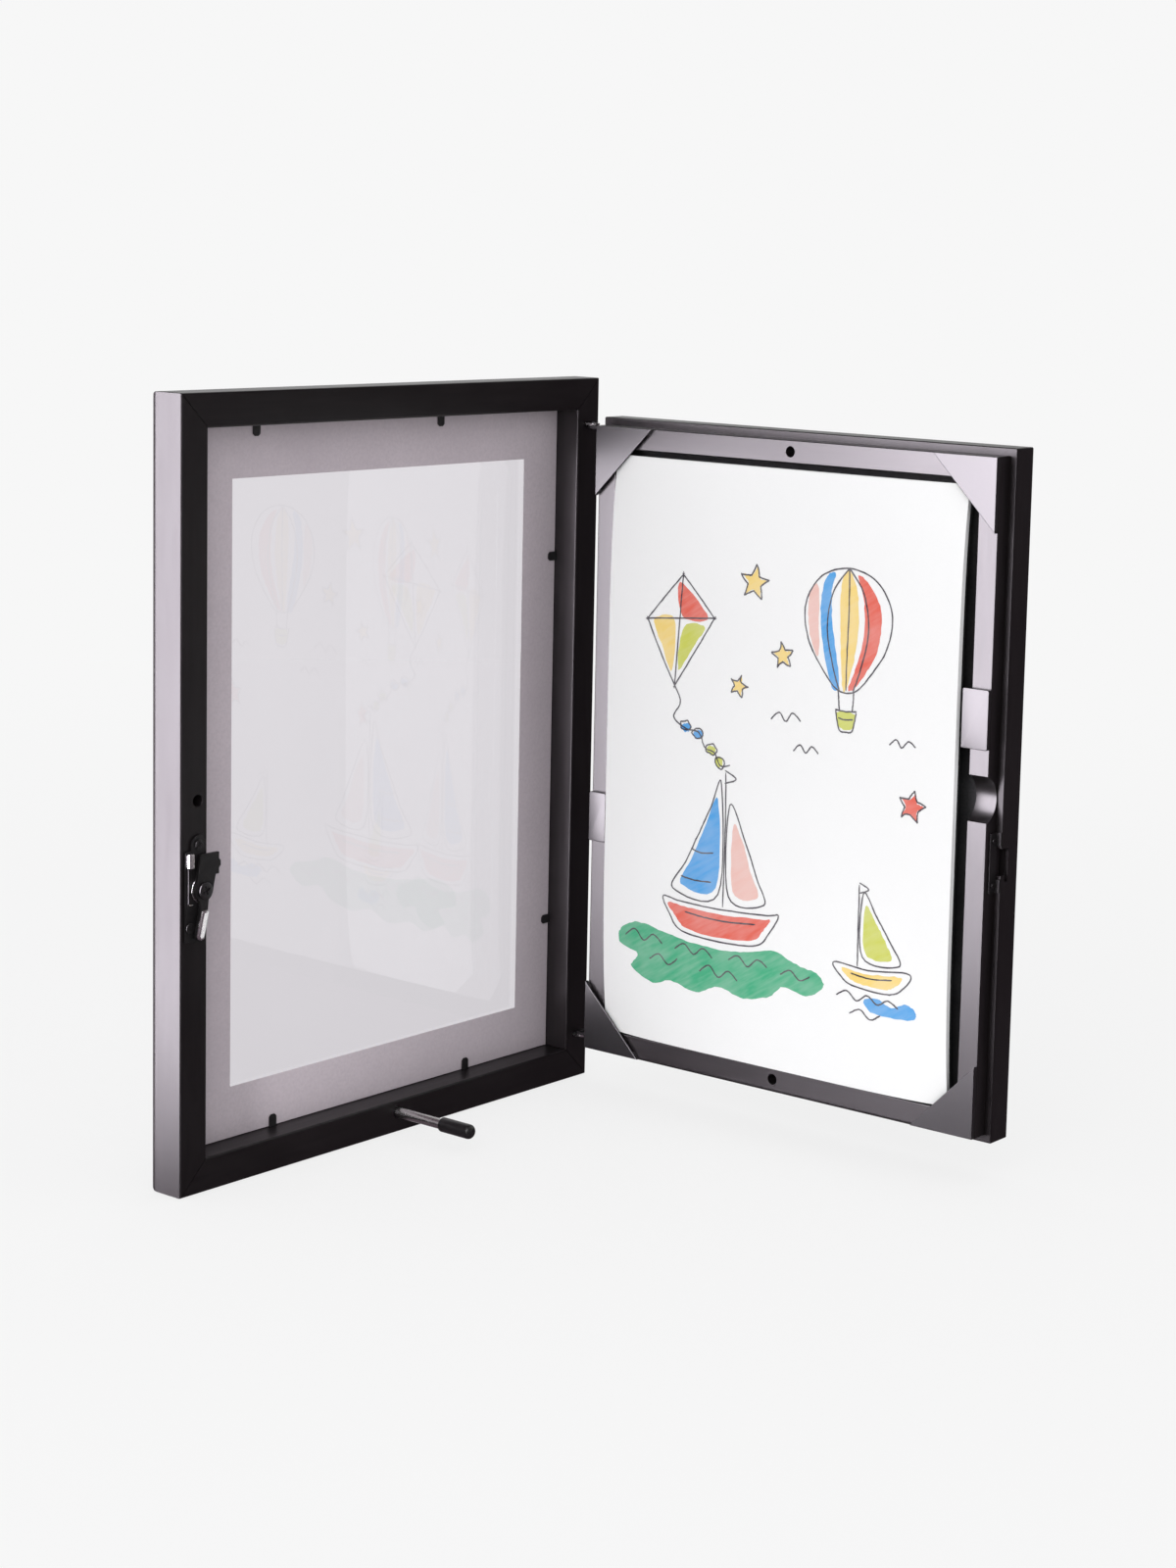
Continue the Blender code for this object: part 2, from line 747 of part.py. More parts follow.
thumb_outline += arc((-thumb_lean, -thumb_end), thumb_half, 0, -180, arc_steps)
thumb_outline += [(-thumb_half, -thumb_pad_top)]
thumb = bmesh.new()
thumb_y0 = lever_y1 + thin_gap
add_prism(
    thumb, [(-inward, up) for inward, up in thumb_outline], "xz",
    thumb_y0, thumb_y0 + latch_thumb_thickness - latch_lever_thickness,
)
add_piece("latch_thumb_pad", thumb, bright_metal, None, lever_pivot)

# Hinge blades let into the stile, and their pins
for end, (stile_level, arm_level) in hinge_levels.items():
    blade = bmesh.new()
    outline = [
        (hinge_x + v, hinge_y - u)
        for u, v in blade_outline(blade_half_width, pivot_behind + blade_reach)
    ]
    half = blade_thickness / 2
    add_prism(blade, outline, "xy", stile_level - half, stile_level + half)
    stile_blade = add_piece("hinge_plate_" + end, blade, bright_metal)
    bore = bmesh.new()
    add_rod(
        bore, (hinge_x, hinge_y, stile_level - blade_thickness),
        (hinge_x, hinge_y, stile_level + blade_thickness), pin_radius + pin_clearance,
    )
    cut(stile_blade, bore)

    pin_low = min(stile_level, arm_level) - half - blade_spacing
    pin_high = max(stile_level, arm_level) + half + blade_spacing
    pin = bmesh.new()
    pin_profile = [
        (pin_head_radius, pin_low - pin_head_height), (pin_head_radius, pin_low), (pin_radius, pin_low),
        (pin_radius, pin_high), (pin_head_radius, pin_high), (pin_head_radius, pin_high + pin_head_height),
    ]
    upright = Matrix.Translation((hinge_x, hinge_y, 0)) @ Matrix.Rotation(math.radians(90), 4, "X")
    add_turned(pin, pin_profile, small_round_steps, upright)
    add_piece("hinge_pin_" + end, pin, bright_metal)

# Storage panel. Its pieces hang on an empty on the hinge axis, which holds
# them at the opening angle; inside it they are drawn in the closed pose.
panel_pivot = bpy.data.objects.new("panel_pivot", None)
panel_pivot.location = (hinge_x, hinge_y, 0)
panel_pivot.rotation_euler = (0, 0, opening_angle)
bpy.context.scene.collection.objects.link(panel_pivot)

board = bmesh.new()
add_box(board, (panel_x0, panel_front_y, panel_low), (panel_x1, panel_rear_y, panel_high))
bmesh.ops.bevel(board, geom=board.edges[:], offset=tray_ease, segments=1, affect="EDGES")
back_board = add_piece("back_board", board, satin_black, panel_pivot)

# Where the latch's nose comes to lie in the closed panel
closed_lever_y0 = lever_y0 - rear_y - pivot_behind
closed_lever_y1 = lever_y1 - rear_y - pivot_behind
wall_hole_low = panel_low + tray_inset + tray_rail_width / 2
wall_hole_high = panel_high - tray_inset - tray_rail_width / 2
board_cuts = bmesh.new()
for z in (wall_hole_low, wall_hole_high):
    add_rod(
        board_cuts, (panel_middle_x, panel_front_y - overrun, z),
        (panel_middle_x, panel_rear_y + overrun, z), wall_hole_radius, round_steps,
    )
add_box(
    board_cuts,
    (panel_x1 - keeper_notch_reach, panel_front_y - overrun, latch_height + keeper_notch_low),
    (panel_x1 + overrun, closed_lever_y1 + keeper_gap, latch_height + keeper_notch_high),
)
cut(back_board, board_cuts)
slot_cuts = bmesh.new()
add_box(
    slot_cuts,
    (panel_x1 - keeper_slot_reach, closed_lever_y0 - keeper_gap, latch_height + keeper_slot_low),
    (panel_x1 + overrun, closed_lever_y1 + keeper_gap, latch_height + keeper_notch_high),
)
for stile_level, arm_level in hinge_levels.values():
    kerf_half = blade_thickness / 2 + fit_gap
    add_box(
        slot_cuts,
        (panel_x0 - overrun, -blade_half_width - fit_gap, arm_level - kerf_half),
        (panel_x0 + blade_reach + fit_gap, blade_half_width + fit_gap, arm_level + kerf_half),
    )
cut(back_board, slot_cuts)

for end, (stile_level, arm_level) in hinge_levels.items():
    half = blade_thickness / 2
    arm = bmesh.new()
    add_prism(
        arm, blade_outline(blade_half_width, panel_x0 + blade_reach), "xy",
        arm_level - half, arm_level + half,
    )
    hinge_arm = add_piece("hinge_arm_" + end, arm, black_metal, panel_pivot)
    bore = bmesh.new()
    add_rod(
        bore, (0, 0, arm_level - blade_thickness), (0, 0, arm_level + blade_thickness),
        pin_radius + pin_clearance,
    )
    cut(hinge_arm, bore)

# Tray ring: four mitred rails on the face of the back board
tray_half = panel_width / 2 - tray_inset
tray_low = panel_low + tray_inset
tray_high = panel_high - tray_inset
tray_base_y = panel_front_y - thin_gap
tray_profile = [
    (0, tray_base_y), (tray_rail_width, tray_base_y),
    (tray_rail_width, tray_front_y + tray_ease), (tray_rail_width - tray_ease, tray_front_y),
    (tray_ease, tray_front_y), (0, tray_front_y + tray_ease),
]
tray_outer_x = panel_middle_x + tray_half
strike_low = latch_height - strike_below
strike_high = latch_height + strike_above
strike_screw_places = [strike_low + strike_screw_inset, strike_high - strike_screw_inset]
strike_screw_y = panel_front_y - strike_screw_rise
for side, name in (
    ("top", "tray_rail_top"), ("bottom", "tray_rail_bottom"),
    ("latch", "tray_rail_latch_side"), ("hinge", "tray_rail_hinge_side"),
):
    rail_mesh = bmesh.new()
    place = rail_place(side, tray_low, tray_high, panel_middle_x, tray_half)
    add_mitred_rail(rail_mesh, tray_profile, place)
    rail = add_piece(name, rail_mesh, satin_black, panel_pivot)
    if side == "hinge":
        continue
    cuts = bmesh.new()
    if side == "latch":
        notch_y = panel_front_y - finger_notch_floor - finger_notch_radius
        add_rod(
            cuts, (tray_outer_x - tray_rail_width - overrun, notch_y, notch_z),
            (tray_outer_x + overrun, notch_y, notch_z), finger_notch_radius, 2 * round_steps,
        )
        for z in strike_screw_places:
            add_rod(
                cuts, (tray_outer_x - strike_screw_length - fit_gap, strike_screw_y, z),
                (tray_outer_x + overrun, strike_screw_y, z), strike_screw_radius + fit_gap,
            )
    else:
        z = wall_hole_high if side == "top" else wall_hole_low
        add_rod(
            cuts, (panel_middle_x, tray_front_y - overrun, z), (panel_middle_x, tray_base_y + overrun, z),
            wall_hole_radius, round_steps,
        )
    cut(rail, cuts)

# Strike plate: an angle on the ring's outer side, its foot parted for the nose
strike_x1 = tray_outer_x + thin_gap + strike_thickness
strike_foot_y = panel_front_y - thin_gap - strike_thickness
strike = bmesh.new()
strike_top_y = panel_front_y - strike_leg_height
add_prism(
    strike,
    [
        (tray_outer_x + thin_gap, strike_top_y), (strike_x1, strike_top_y),
        (strike_x1, strike_foot_y), (strike_x1 + strike_foot_reach, strike_foot_y),
        (strike_x1 + strike_foot_reach, panel_front_y - thin_gap),
        (tray_outer_x + thin_gap, panel_front_y - thin_gap),
    ],
    "xy", strike_low, strike_high,
)
strike_plate = add_piece("strike_plate", strike, black_metal, panel_pivot)
strike_cuts = bmesh.new()
add_box(
    strike_cuts,
    (strike_x1, strike_foot_y - overrun, strike_low + strike_foot_height),
    (strike_x1 + strike_foot_reach + overrun, panel_front_y + overrun, strike_high - strike_foot_height),
)
for z in strike_screw_places:
    add_rod(
        strike_cuts, (tray_outer_x - overrun, strike_screw_y, z), (strike_x1 + overrun, strike_screw_y, z),
        strike_screw_radius + fit_gap,
    )
cut(strike_plate, strike_cuts)

head_x = strike_x1 + thin_gap - tray_outer_x
strike_screw_profile = [
    (strike_screw_radius, -strike_screw_length), (strike_screw_radius, head_x),
    (strike_screw_head_radius, head_x), (strike_screw_head_radius, head_x + strike_screw_head_height),
]
for number, z in enumerate(strike_screw_places, 1):
    screw = bmesh.new()
    turned = Matrix.Rotation(math.radians(-90), 4, "Z")
    sideways = Matrix.Translation((tray_outer_x, strike_screw_y, z)) @ turned
    add_turned(screw, strike_screw_profile, small_round_steps, sideways)
    add_piece(f"strike_screw_{number}", screw, black_metal, panel_pivot)

# Corner pockets: a triangular plate on two walls that stand on the ring
pocket_base_y = tray_front_y - thin_gap
pocket_top_y = tray_front_y - pocket_height
for high in (False, True):
    for outer in (False, True):
        sign_x = 1 if outer else -1
        sign_z = 1 if high else -1
        corner_x = panel_middle_x + sign_x * (tray_half - pocket_inset)
        corner_z = tray_high - pocket_inset if high else tray_low + pocket_inset
        pocket = bmesh.new()
        triangle = [
            (corner_x, corner_z), (corner_x - sign_x * pocket_leg, corner_z),
            (corner_x, corner_z - sign_z * pocket_leg),
        ]
        add_prism(pocket, triangle, "xz", pocket_base_y, pocket_top_y)
        height_word = "upper" if high else "lower"
        side_word = "latch" if outer else "hinge"
        piece = add_piece(f"corner_pocket_{height_word}_{side_word}", pocket, black_plastic, panel_pivot)
        hollow = bmesh.new()
        inner_x = corner_x - sign_x * pocket_wall
        inner_z = corner_z - sign_z * pocket_wall
        triangle = [
            (inner_x, inner_z), (inner_x - sign_x * pocket_leg, inner_z),
            (inner_x, inner_z - sign_z * pocket_leg),
        ]
        add_prism(hollow, triangle, "xz", pocket_base_y + overrun, pocket_top_y + pocket_plate)
        cut(piece, hollow)

# Side tabs on the ring, one above the finger notch and one below the middle
latch_side_tab_z = notch_z + latch_side_tab_above_notch
hinge_side_tab_z = middle_z - hinge_side_tab_below_middle
for side_word, sign, reach, height, centre_z in (
    ("latch", 1, latch_side_tab_reach, latch_side_tab_height, latch_side_tab_z),
    ("hinge", -1, hinge_side_tab_reach, hinge_side_tab_height, hinge_side_tab_z),
):
    outer_x = panel_middle_x + sign * (tray_half - pocket_inset)
    inner_x = outer_x - sign * reach
    low = (min(outer_x, inner_x), centre_z - height / 2)
    high = (max(outer_x, inner_x), centre_z + height / 2)
    tab = bmesh.new()
    add_prism(
        tab, rounded_rectangle(low, high, side_tab_corner, 4), "xz",
        tray_front_y - thin_gap - side_tab_thickness, tray_front_y - thin_gap,
    )
    add_piece("side_tab_" + side_word, tab, black_plastic, panel_pivot)

# Liner card on the floor of the tray
liner = bmesh.new()
liner_half_x = tray_half - tray_rail_width - fit_gap
liner_low = tray_low + tray_rail_width + fit_gap
liner_high = tray_high - tray_rail_width - fit_gap
add_box(
    liner,
    (panel_middle_x - liner_half_x, tray_base_y - liner_thickness, liner_low),
    (panel_middle_x + liner_half_x, tray_base_y, liner_high),
)
add_piece("tray_liner", liner, black_card, panel_pivot)


def bulge(across, up):
    """Rise of the papers: nothing at the corners, full between them; -1 to 1 each way."""
    return paper_bulge * (1 - abs(across * up) ** paper_bulge_power)


def add_bulged_layer(mesh_data, top_height, thickness, columns, rows):
    """A sheet or stack whose faces follow the bulge; top_height is at its corners."""
    layers = []
    for drop in (0, thickness):
        grid = []
        for row in range(rows + 1):
            up = 2 * row / rows - 1
            line = []
            for column in range(columns + 1):
                across = 2 * column / columns - 1
                height = top_height - drop + bulge(across, up)
                line.append(mesh_data.verts.new((
                    paper_middle_x + across * sheet_width / 2, panel_front_y - height,
                    paper_middle_z + up * sheet_height / 2,
                )))
            grid.append(line)
        layers.append(grid)
    for grid in layers:
        for row in range(rows):
            for column in range(columns):
                mesh_data.faces.new((
                    grid[row][column], grid[row][column + 1],
                    grid[row + 1][column + 1], grid[row + 1][column],
                ))
    front, back = layers
    rim = [(0, column) for column in range(columns)]
    rim += [(row, columns) for row in range(rows)]
    rim += [(rows, column) for column in range(columns, 0, -1)]
    rim += [(row, 0) for row in range(rows, 0, -1)]
    for index, (row, column) in enumerate(rim):
        next_row, next_column = rim[(index + 1) % len(rim)]
        mesh_data.faces.new((
            front[row][column], front[next_row][next_column],
            back[next_row][next_column], back[row][column],
        ))


layer_top = paper_corner_height
for name, thickness, material in (
    ("front_sheet", sheet_thickness, white_paper),
    ("paper_stack", stack_thickness, white_paper),
    ("pressure_card", card_thickness, black_card),
):
    layer = bmesh.new()
    add_bulged_layer(layer, layer_top, thickness, paper_columns, paper_rows)
    add_piece(name, layer, material, panel_pivot)
    layer_top -= thickness + layer_gap

# Bow springs between the liner and the pressure card
spring_reach = spring_reach_share * sheet_width / 2
spring_foot = thin_gap + liner_thickness + thin_gap + spring_strip_thickness / 2
spring_crest = layer_top + paper_bulge - thin_gap - spring_strip_thickness / 2
for name, sign in (("bow_spring_upper", 1), ("bow_spring_lower", -1)):
    line = []
    for step in range(spring_steps + 1):
        along = 2 * step / spring_steps - 1
        rise = spring_foot + (spring_crest - spring_foot) * (1 - along ** 2)
        line.append((panel_middle_x + along * spring_reach, panel_front_y - rise))
    strip = bmesh.new()
    centre_z = middle_z + sign * spring_height_share * sheet_height / 2
    add_prism(
        strip, ribbon(line, spring_strip_thickness), "xy",
        centre_z - spring_strip_width / 2, centre_z + spring_strip_width / 2,
    )
    add_piece(name, strip, bright_metal, panel_pivot)
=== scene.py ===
import math

import bmesh
import bpy
import numpy as np
from mathutils import Matrix, Vector


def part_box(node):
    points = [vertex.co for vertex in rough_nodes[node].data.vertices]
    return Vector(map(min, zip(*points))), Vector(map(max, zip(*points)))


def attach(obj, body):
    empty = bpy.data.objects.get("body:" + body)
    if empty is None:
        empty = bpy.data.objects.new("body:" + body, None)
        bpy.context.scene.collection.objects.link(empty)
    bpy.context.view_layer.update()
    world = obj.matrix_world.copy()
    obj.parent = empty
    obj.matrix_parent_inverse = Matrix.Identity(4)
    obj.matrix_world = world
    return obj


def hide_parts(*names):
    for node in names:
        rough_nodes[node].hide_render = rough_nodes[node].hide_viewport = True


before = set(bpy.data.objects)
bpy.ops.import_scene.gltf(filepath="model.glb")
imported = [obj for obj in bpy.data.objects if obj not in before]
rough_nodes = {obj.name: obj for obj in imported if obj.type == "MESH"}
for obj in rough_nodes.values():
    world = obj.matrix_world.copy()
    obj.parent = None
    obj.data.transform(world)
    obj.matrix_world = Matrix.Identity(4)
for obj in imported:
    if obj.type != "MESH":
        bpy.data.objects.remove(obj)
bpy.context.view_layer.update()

# Camera. It stands behind the frame on its latch side, a little above the top
# rail, and looks down at the open frame. Picture sizes are in its dots.
camera_stand = Vector((1.04425, 1.0214, 0.4490))
camera_yaw = 0.9077
camera_pitch = 0.1358
camera_roll = 0.0262
picture_height = 1600
picture_centre = (600, 800)
optical_centre = (736.6, 648.0)
focal_length = 3085.2
sensor_height = 36.0
nearest_seen = 0.05
farthest_seen = 60
ahead = Vector((
    -math.sin(camera_yaw) * math.cos(camera_pitch),
    -math.cos(camera_yaw) * math.cos(camera_pitch),
    -math.sin(camera_pitch),
))
level_right = Vector((-math.cos(camera_yaw), math.sin(camera_yaw), 0))
level_up = level_right.cross(ahead)
camera_right = math.cos(camera_roll) * level_right + math.sin(camera_roll) * level_up
camera_up = math.cos(camera_roll) * level_up - math.sin(camera_roll) * level_right
bpy.ops.object.select_all(action="DESELECT")
bpy.ops.object.camera_add()
camera = bpy.context.object
camera.name = "studio_camera"
camera_turn = Matrix((camera_right, camera_up, -ahead)).transposed().to_4x4()
camera.matrix_world = Matrix.Translation(camera_stand) @ camera_turn
camera.data.sensor_fit = "VERTICAL"
camera.data.sensor_height = sensor_height
camera.data.lens = focal_length * sensor_height / picture_height
camera.data.shift_x = (picture_centre[0] - optical_centre[0]) / picture_height
camera.data.shift_y = (optical_centre[1] - picture_centre[1]) / picture_height
camera.data.clip_start = nearest_seen
camera.data.clip_end = farthest_seen
bpy.context.scene.camera = camera
bpy.context.scene.view_settings.view_transform = "Standard"

# Studio room. Even soft light from all round, a white backdrop behind the
# frame, and a dim side from which black faces take their depth.
backdrop_white = (0.93, 0.93, 0.93, 1)
room_light = (0.84, 0.84, 0.845, 1)
dim_side = (0.112, 0.082, 0.100, 1)
towards_backdrop = (-0.78, -0.61, 0.12)
dim_up_to = 0.55
white_from = 0.95


def feed(links, socket, value):
    """Give a socket a fixed value, or another socket to take its value from."""
    if isinstance(value, bpy.types.NodeSocket):
        links.new(value, socket)
    else:
        socket.default_value = value


def joined(nodes, links, operation, first, second):
    """One value out of two, by a sum, a product or the like."""
    maths = nodes.new("ShaderNodeMath")
    maths.operation = operation
    feed(links, maths.inputs[0], first)
    feed(links, maths.inputs[1], second)
    return maths.outputs[0]


def blended(nodes, links, share, first, second):
    """A colour between two, by a share."""
    mix = nodes.new("ShaderNodeMix")
    mix.data_type = "RGBA"
    for socket, value in (("Factor", share), ("A", first), ("B", second)):
        feed(links, mix.inputs[socket], value)
    return mix.outputs["Result"]


def in_range(nodes, links, value, given=(0, 1), wanted=(0, 1), kind="LINEAR"):
    """A value carried over from a given range into a wanted one."""
    scale = nodes.new("ShaderNodeMapRange")
    scale.interpolation_type = kind
    for socket, end in zip(("From Min", "From Max", "To Min", "To Max"), (*given, *wanted)):
        scale.inputs[socket].default_value = end
    links.new(value, scale.inputs["Value"])
    return scale.outputs["Result"]


world = bpy.data.worlds.new("studio_room")
bpy.context.scene.world = world
world.use_nodes = True
nodes, links = world.node_tree.nodes, world.node_tree.links
path = nodes.new("ShaderNodeLightPath")
direction = nodes.new("ShaderNodeTexCoord")
facing = nodes.new("ShaderNodeVectorMath")
facing.operation = "DOT_PRODUCT"
links.new(direction.outputs["Generated"], facing.inputs[0])
facing.inputs[1].default_value = towards_backdrop
falloff = in_range(
    nodes, links, facing.outputs["Value"], given=(dim_up_to, white_from), kind="SMOOTHSTEP",
)
mirrored_room = blended(nodes, links, falloff, dim_side, backdrop_white)
seen = joined(nodes, links, "MAXIMUM", path.outputs["Is Camera Ray"], path.outputs["Is Transmission Ray"])
room = blended(nodes, links, path.outputs["Is Glossy Ray"], room_light, mirrored_room)
room = blended(nodes, links, seen, room, backdrop_white)
links.new(room, nodes["Background"].inputs["Color"])

# Floor. A pale sheet of background paper without an edge, on which the frame
# leaves a soft shadow.
floor_size = 60
floor_drop = 0.0004
floor_white = (0.92, 0.92, 0.92, 1)
floor_roughness = 0.9
shadow_reach = 0.35
fade_reach = 1.6
glow_underfoot = 0.84
bpy.ops.mesh.primitive_plane_add(size=floor_size, location=(0, 0, -floor_drop))
floor = bpy.context.object
floor.name = "studio_floor"
bpy.ops.object.transform_apply(location=True)
floor.visible_glossy = False


def bare_material(name):
    """A new material, its nodes, their links and its shader."""
    material = bpy.data.materials.new(name)
    material.use_nodes = True
    nodes, links = material.node_tree.nodes, material.node_tree.links
    return material, nodes, links, nodes["Principled BSDF"]


floor_paper, nodes, links, shader = bare_material("floor_paper")
shader.inputs["Base Color"].default_value = floor_white
shader.inputs["Roughness"].default_value = floor_roughness
shader.inputs["Specular IOR Level"].default_value = 0.0
glow = nodes.new("ShaderNodeEmission")
glow.inputs["Color"].default_value = backdrop_white
path = nodes.new("ShaderNodeLightPath")
place = nodes.new("ShaderNodeTexCoord")
distance = nodes.new("ShaderNodeVectorMath")
distance.operation = "LENGTH"
links.new(place.outputs["Object"], distance.inputs[0])
far = in_range(
    nodes, links, distance.outputs["Value"], given=(shadow_reach, fade_reach),
    wanted=(glow_underfoot, 1), kind="SMOOTHSTEP",
)
seen = joined(nodes, links, "MAXIMUM", path.outputs["Is Camera Ray"], path.outputs["Is Transmission Ray"])
seen = joined(nodes, links, "MAXIMUM", seen, path.outputs["Is Glossy Ray"])
share = joined(nodes, links, "MULTIPLY", seen, far)
blend = nodes.new("ShaderNodeMixShader")
links.new(share, blend.inputs["Fac"])
links.new(shader.outputs["BSDF"], blend.inputs[1])
links.new(glow.outputs["Emission"], blend.inputs[2])
links.new(blend.outputs["Shader"], nodes["Material Output"].inputs["Surface"])
floor.data.materials.append(floor_paper)

# Lamps. A large soft lamp above the camera, a low one that lifts the sheet's
# foot and, seen by gloss alone, a soft box in two parts for the side faces, a
# narrow strip for the nickel and a small card for the thumb pad.
under_one = 0.5


def add_lamp(name, place, aim, size, power, for_gloss=False):
    """A rectangular soft lamp that looks at a point; one for gloss lights no matt surface."""
    bpy.ops.object.light_add(type="AREA", location=place)
    lamp = bpy.context.object
    lamp.name = name
    lamp.rotation_euler = (Vector(aim) - Vector(place)).to_track_quat("-Z", "Y").to_euler()
    lamp.data.shape = "RECTANGLE"
    lamp.data.size, lamp.data.size_y = size
    lamp.data.energy = power
    lamp.visible_camera = False
    lamp.visible_transmission = False
    if for_gloss:
        lamp.visible_diffuse = False
        lamp.data.use_nodes = True
        nodes, links = lamp.data.node_tree.nodes, lamp.data.node_tree.links
        path = nodes.new("ShaderNodeLightPath")
        # Light that has met a matt surface on its way is left out as well
        gloss_alone = joined(nodes, links, "LESS_THAN", path.outputs["Diffuse Depth"], under_one)
        links.new(gloss_alone, nodes["Emission"].inputs["Strength"])
    return lamp


def share_light(piece, lamps, state="EXCLUDE"):
    """Keep lamps off a piece, as a card held beside it does, or give it one of its own."""
    for lamp in lamps:
        linking = lamp.light_linking
        if linking.receiver_collection is None:
            linking.receiver_collection = bpy.data.collections.new(lamp.name + "_pieces")
        linking.receiver_collection.objects.link(piece)
        linking.receiver_collection.collection_objects[-1].light_linking.link_state = state


add_lamp("lamp_over_camera", place=(1.6, 0.95, 1.1), aim=(0, 0.1, 0.2), size=(1.3, 1.3), power=10.9)
low_fill = add_lamp(
    "low_fill", place=(0.06, 0.155, 0.03), aim=(-0.13, 0.12, 0.06), size=(0.26, 0.05), power=0.066,
)
low_fill.visible_glossy = False
share_light(floor, [low_fill])
box_across = Vector((0.66, 0.75, 0)).normalized()
box_middle = Vector((0.425, -0.1215, 0.398))
box_aim = Vector((0.125, 0.1425, 0.398))
box_height = 0.91
box_lilac = (1, 0.93, 1.02)
box_parts = (("side_soft_box", 0.13, 0.66, 40.0), ("side_soft_box_wing", -0.27, 0.14, 1.8))
side_boxes = []
for name, aside, width, power in box_parts:
    shift = box_across * aside
    lamp = add_lamp(
        name, place=box_middle + shift, aim=box_aim + shift, size=(width, box_height), power=power,
        for_gloss=True,
    )
    lamp.data.color = box_lilac
    side_boxes.append(lamp)
nickel_strip = add_lamp(
    "nickel_strip", place=(0.455, 0.175, 0.33), aim=(0.13, 0.013, 0.15), size=(0.08, 0.5), power=1.3,
    for_gloss=True,
)
thumb_card = add_lamp(
    "thumb_card", place=(-0.1426, 0.3188, 0.0303), aim=(0.132, 0.0162, 0.1272), size=(0.11, 0.055),
    power=0.04, for_gloss=True,
)

# Front moulding. Four mitred lengths of hardwood with a round front edge,
# glued at the corners, sanded and sprayed satin black.
paint_black = (0.0066, 0.0050, 0.0056)
paint_worn = (0.0105, 0.0084, 0.0092)
paint_gloss = 0.27
paint_edge = 0.0004
flat_angle = math.radians(1)
edge_angle = math.radians(30)
soft_angle = math.radians(40)
weld_reach = 0.00001
mitre_tolerance = 0.02
square_on = 0.9
grain_relief = 0.0001
grain_least = 0.12
grain_most = 0.38
grain_middling = 0.25


def noise(nodes, links, place, scale, detail):
    """A soft unevenness over a place."""
    clouds = nodes.new("ShaderNodeTexNoise")
    for socket, value in (("Vector", place), ("Scale", scale), ("Detail", detail)):
        feed(links, clouds.inputs[socket], value)
    return clouds.outputs["Fac"]


def relief(nodes, links, height, strength, distance):
    """The slopes of a fine relief, for a shader."""
    bumps = nodes.new("ShaderNodeBump")
    for socket, value in (("Height", height), ("Strength", strength), ("Distance", distance)):
        feed(links, bumps.inputs[socket], value)
    return bumps.outputs["Normal"]


def fine_finish_group():
    """Grain of a finish: an uneven colour, an uneven roughness and a fine relief."""
    group = bpy.data.node_groups.new("fine_finish", "ShaderNodeTree")
    interface = group.interface
    for socket, kind, value in (
        ("Colour", "NodeSocketColor", (0.5, 0.5, 0.5, 1)),
        ("Second colour", "NodeSocketColor", (0.5, 0.5, 0.5, 1)),
        ("Roughness", "NodeSocketFloat", 0.5), ("Roughness spread", "NodeSocketFloat", 0.05),
        ("Patch scale", "NodeSocketFloat", 20.0), ("Grain scale", "NodeSocketFloat", 900.0),
        ("Grain depth", "NodeSocketFloat", 0.1), ("Stretch", "NodeSocketVector", (1, 1, 1)),
    ):
        interface.new_socket(name=socket, in_out="INPUT", socket_type=kind).default_value = value
    for socket, kind in (
        ("Colour", "NodeSocketColor"), ("Roughness", "NodeSocketFloat"), ("Normal", "NodeSocketVector"),
    ):
        interface.new_socket(name=socket, in_out="OUTPUT", socket_type=kind)
    nodes, links = group.nodes, group.links
    given = nodes.new("NodeGroupInput")
    made = nodes.new("NodeGroupOutput")
    place = nodes.new("ShaderNodeTexCoord")
    stretched = nodes.new("ShaderNodeVectorMath")
    stretched.operation = "MULTIPLY"
    links.new(place.outputs["Object"], stretched.inputs[0])
    links.new(given.outputs["Stretch"], stretched.inputs[1])
    patches = noise(nodes, links, place.outputs["Object"], given.outputs["Patch scale"], detail=3)
    grain = noise(nodes, links, stretched.outputs["Vector"], given.outputs["Grain scale"], detail=4)
    both = joined(nodes, links, "MULTIPLY", patches, grain)
    share = in_range(nodes, links, both, given=(grain_least, grain_most))
    colour = blended(nodes, links, share, given.outputs["Colour"], given.outputs["Second colour"])
    centred = joined(nodes, links, "SUBTRACT", both, grain_middling)
    rougher = joined(nodes, links, "MULTIPLY", centred, given.outputs["Roughness spread"])
    rougher = joined(nodes, links, "ADD", rougher, given.outputs["Roughness"])
    slopes = relief(nodes, links, grain, given.outputs["Grain depth"], grain_relief)
    links.new(colour, made.inputs["Colour"])
    links.new(rougher, made.inputs["Roughness"])
    links.new(slopes, made.inputs["Normal"])
    return group


fine_finish = fine_finish_group()


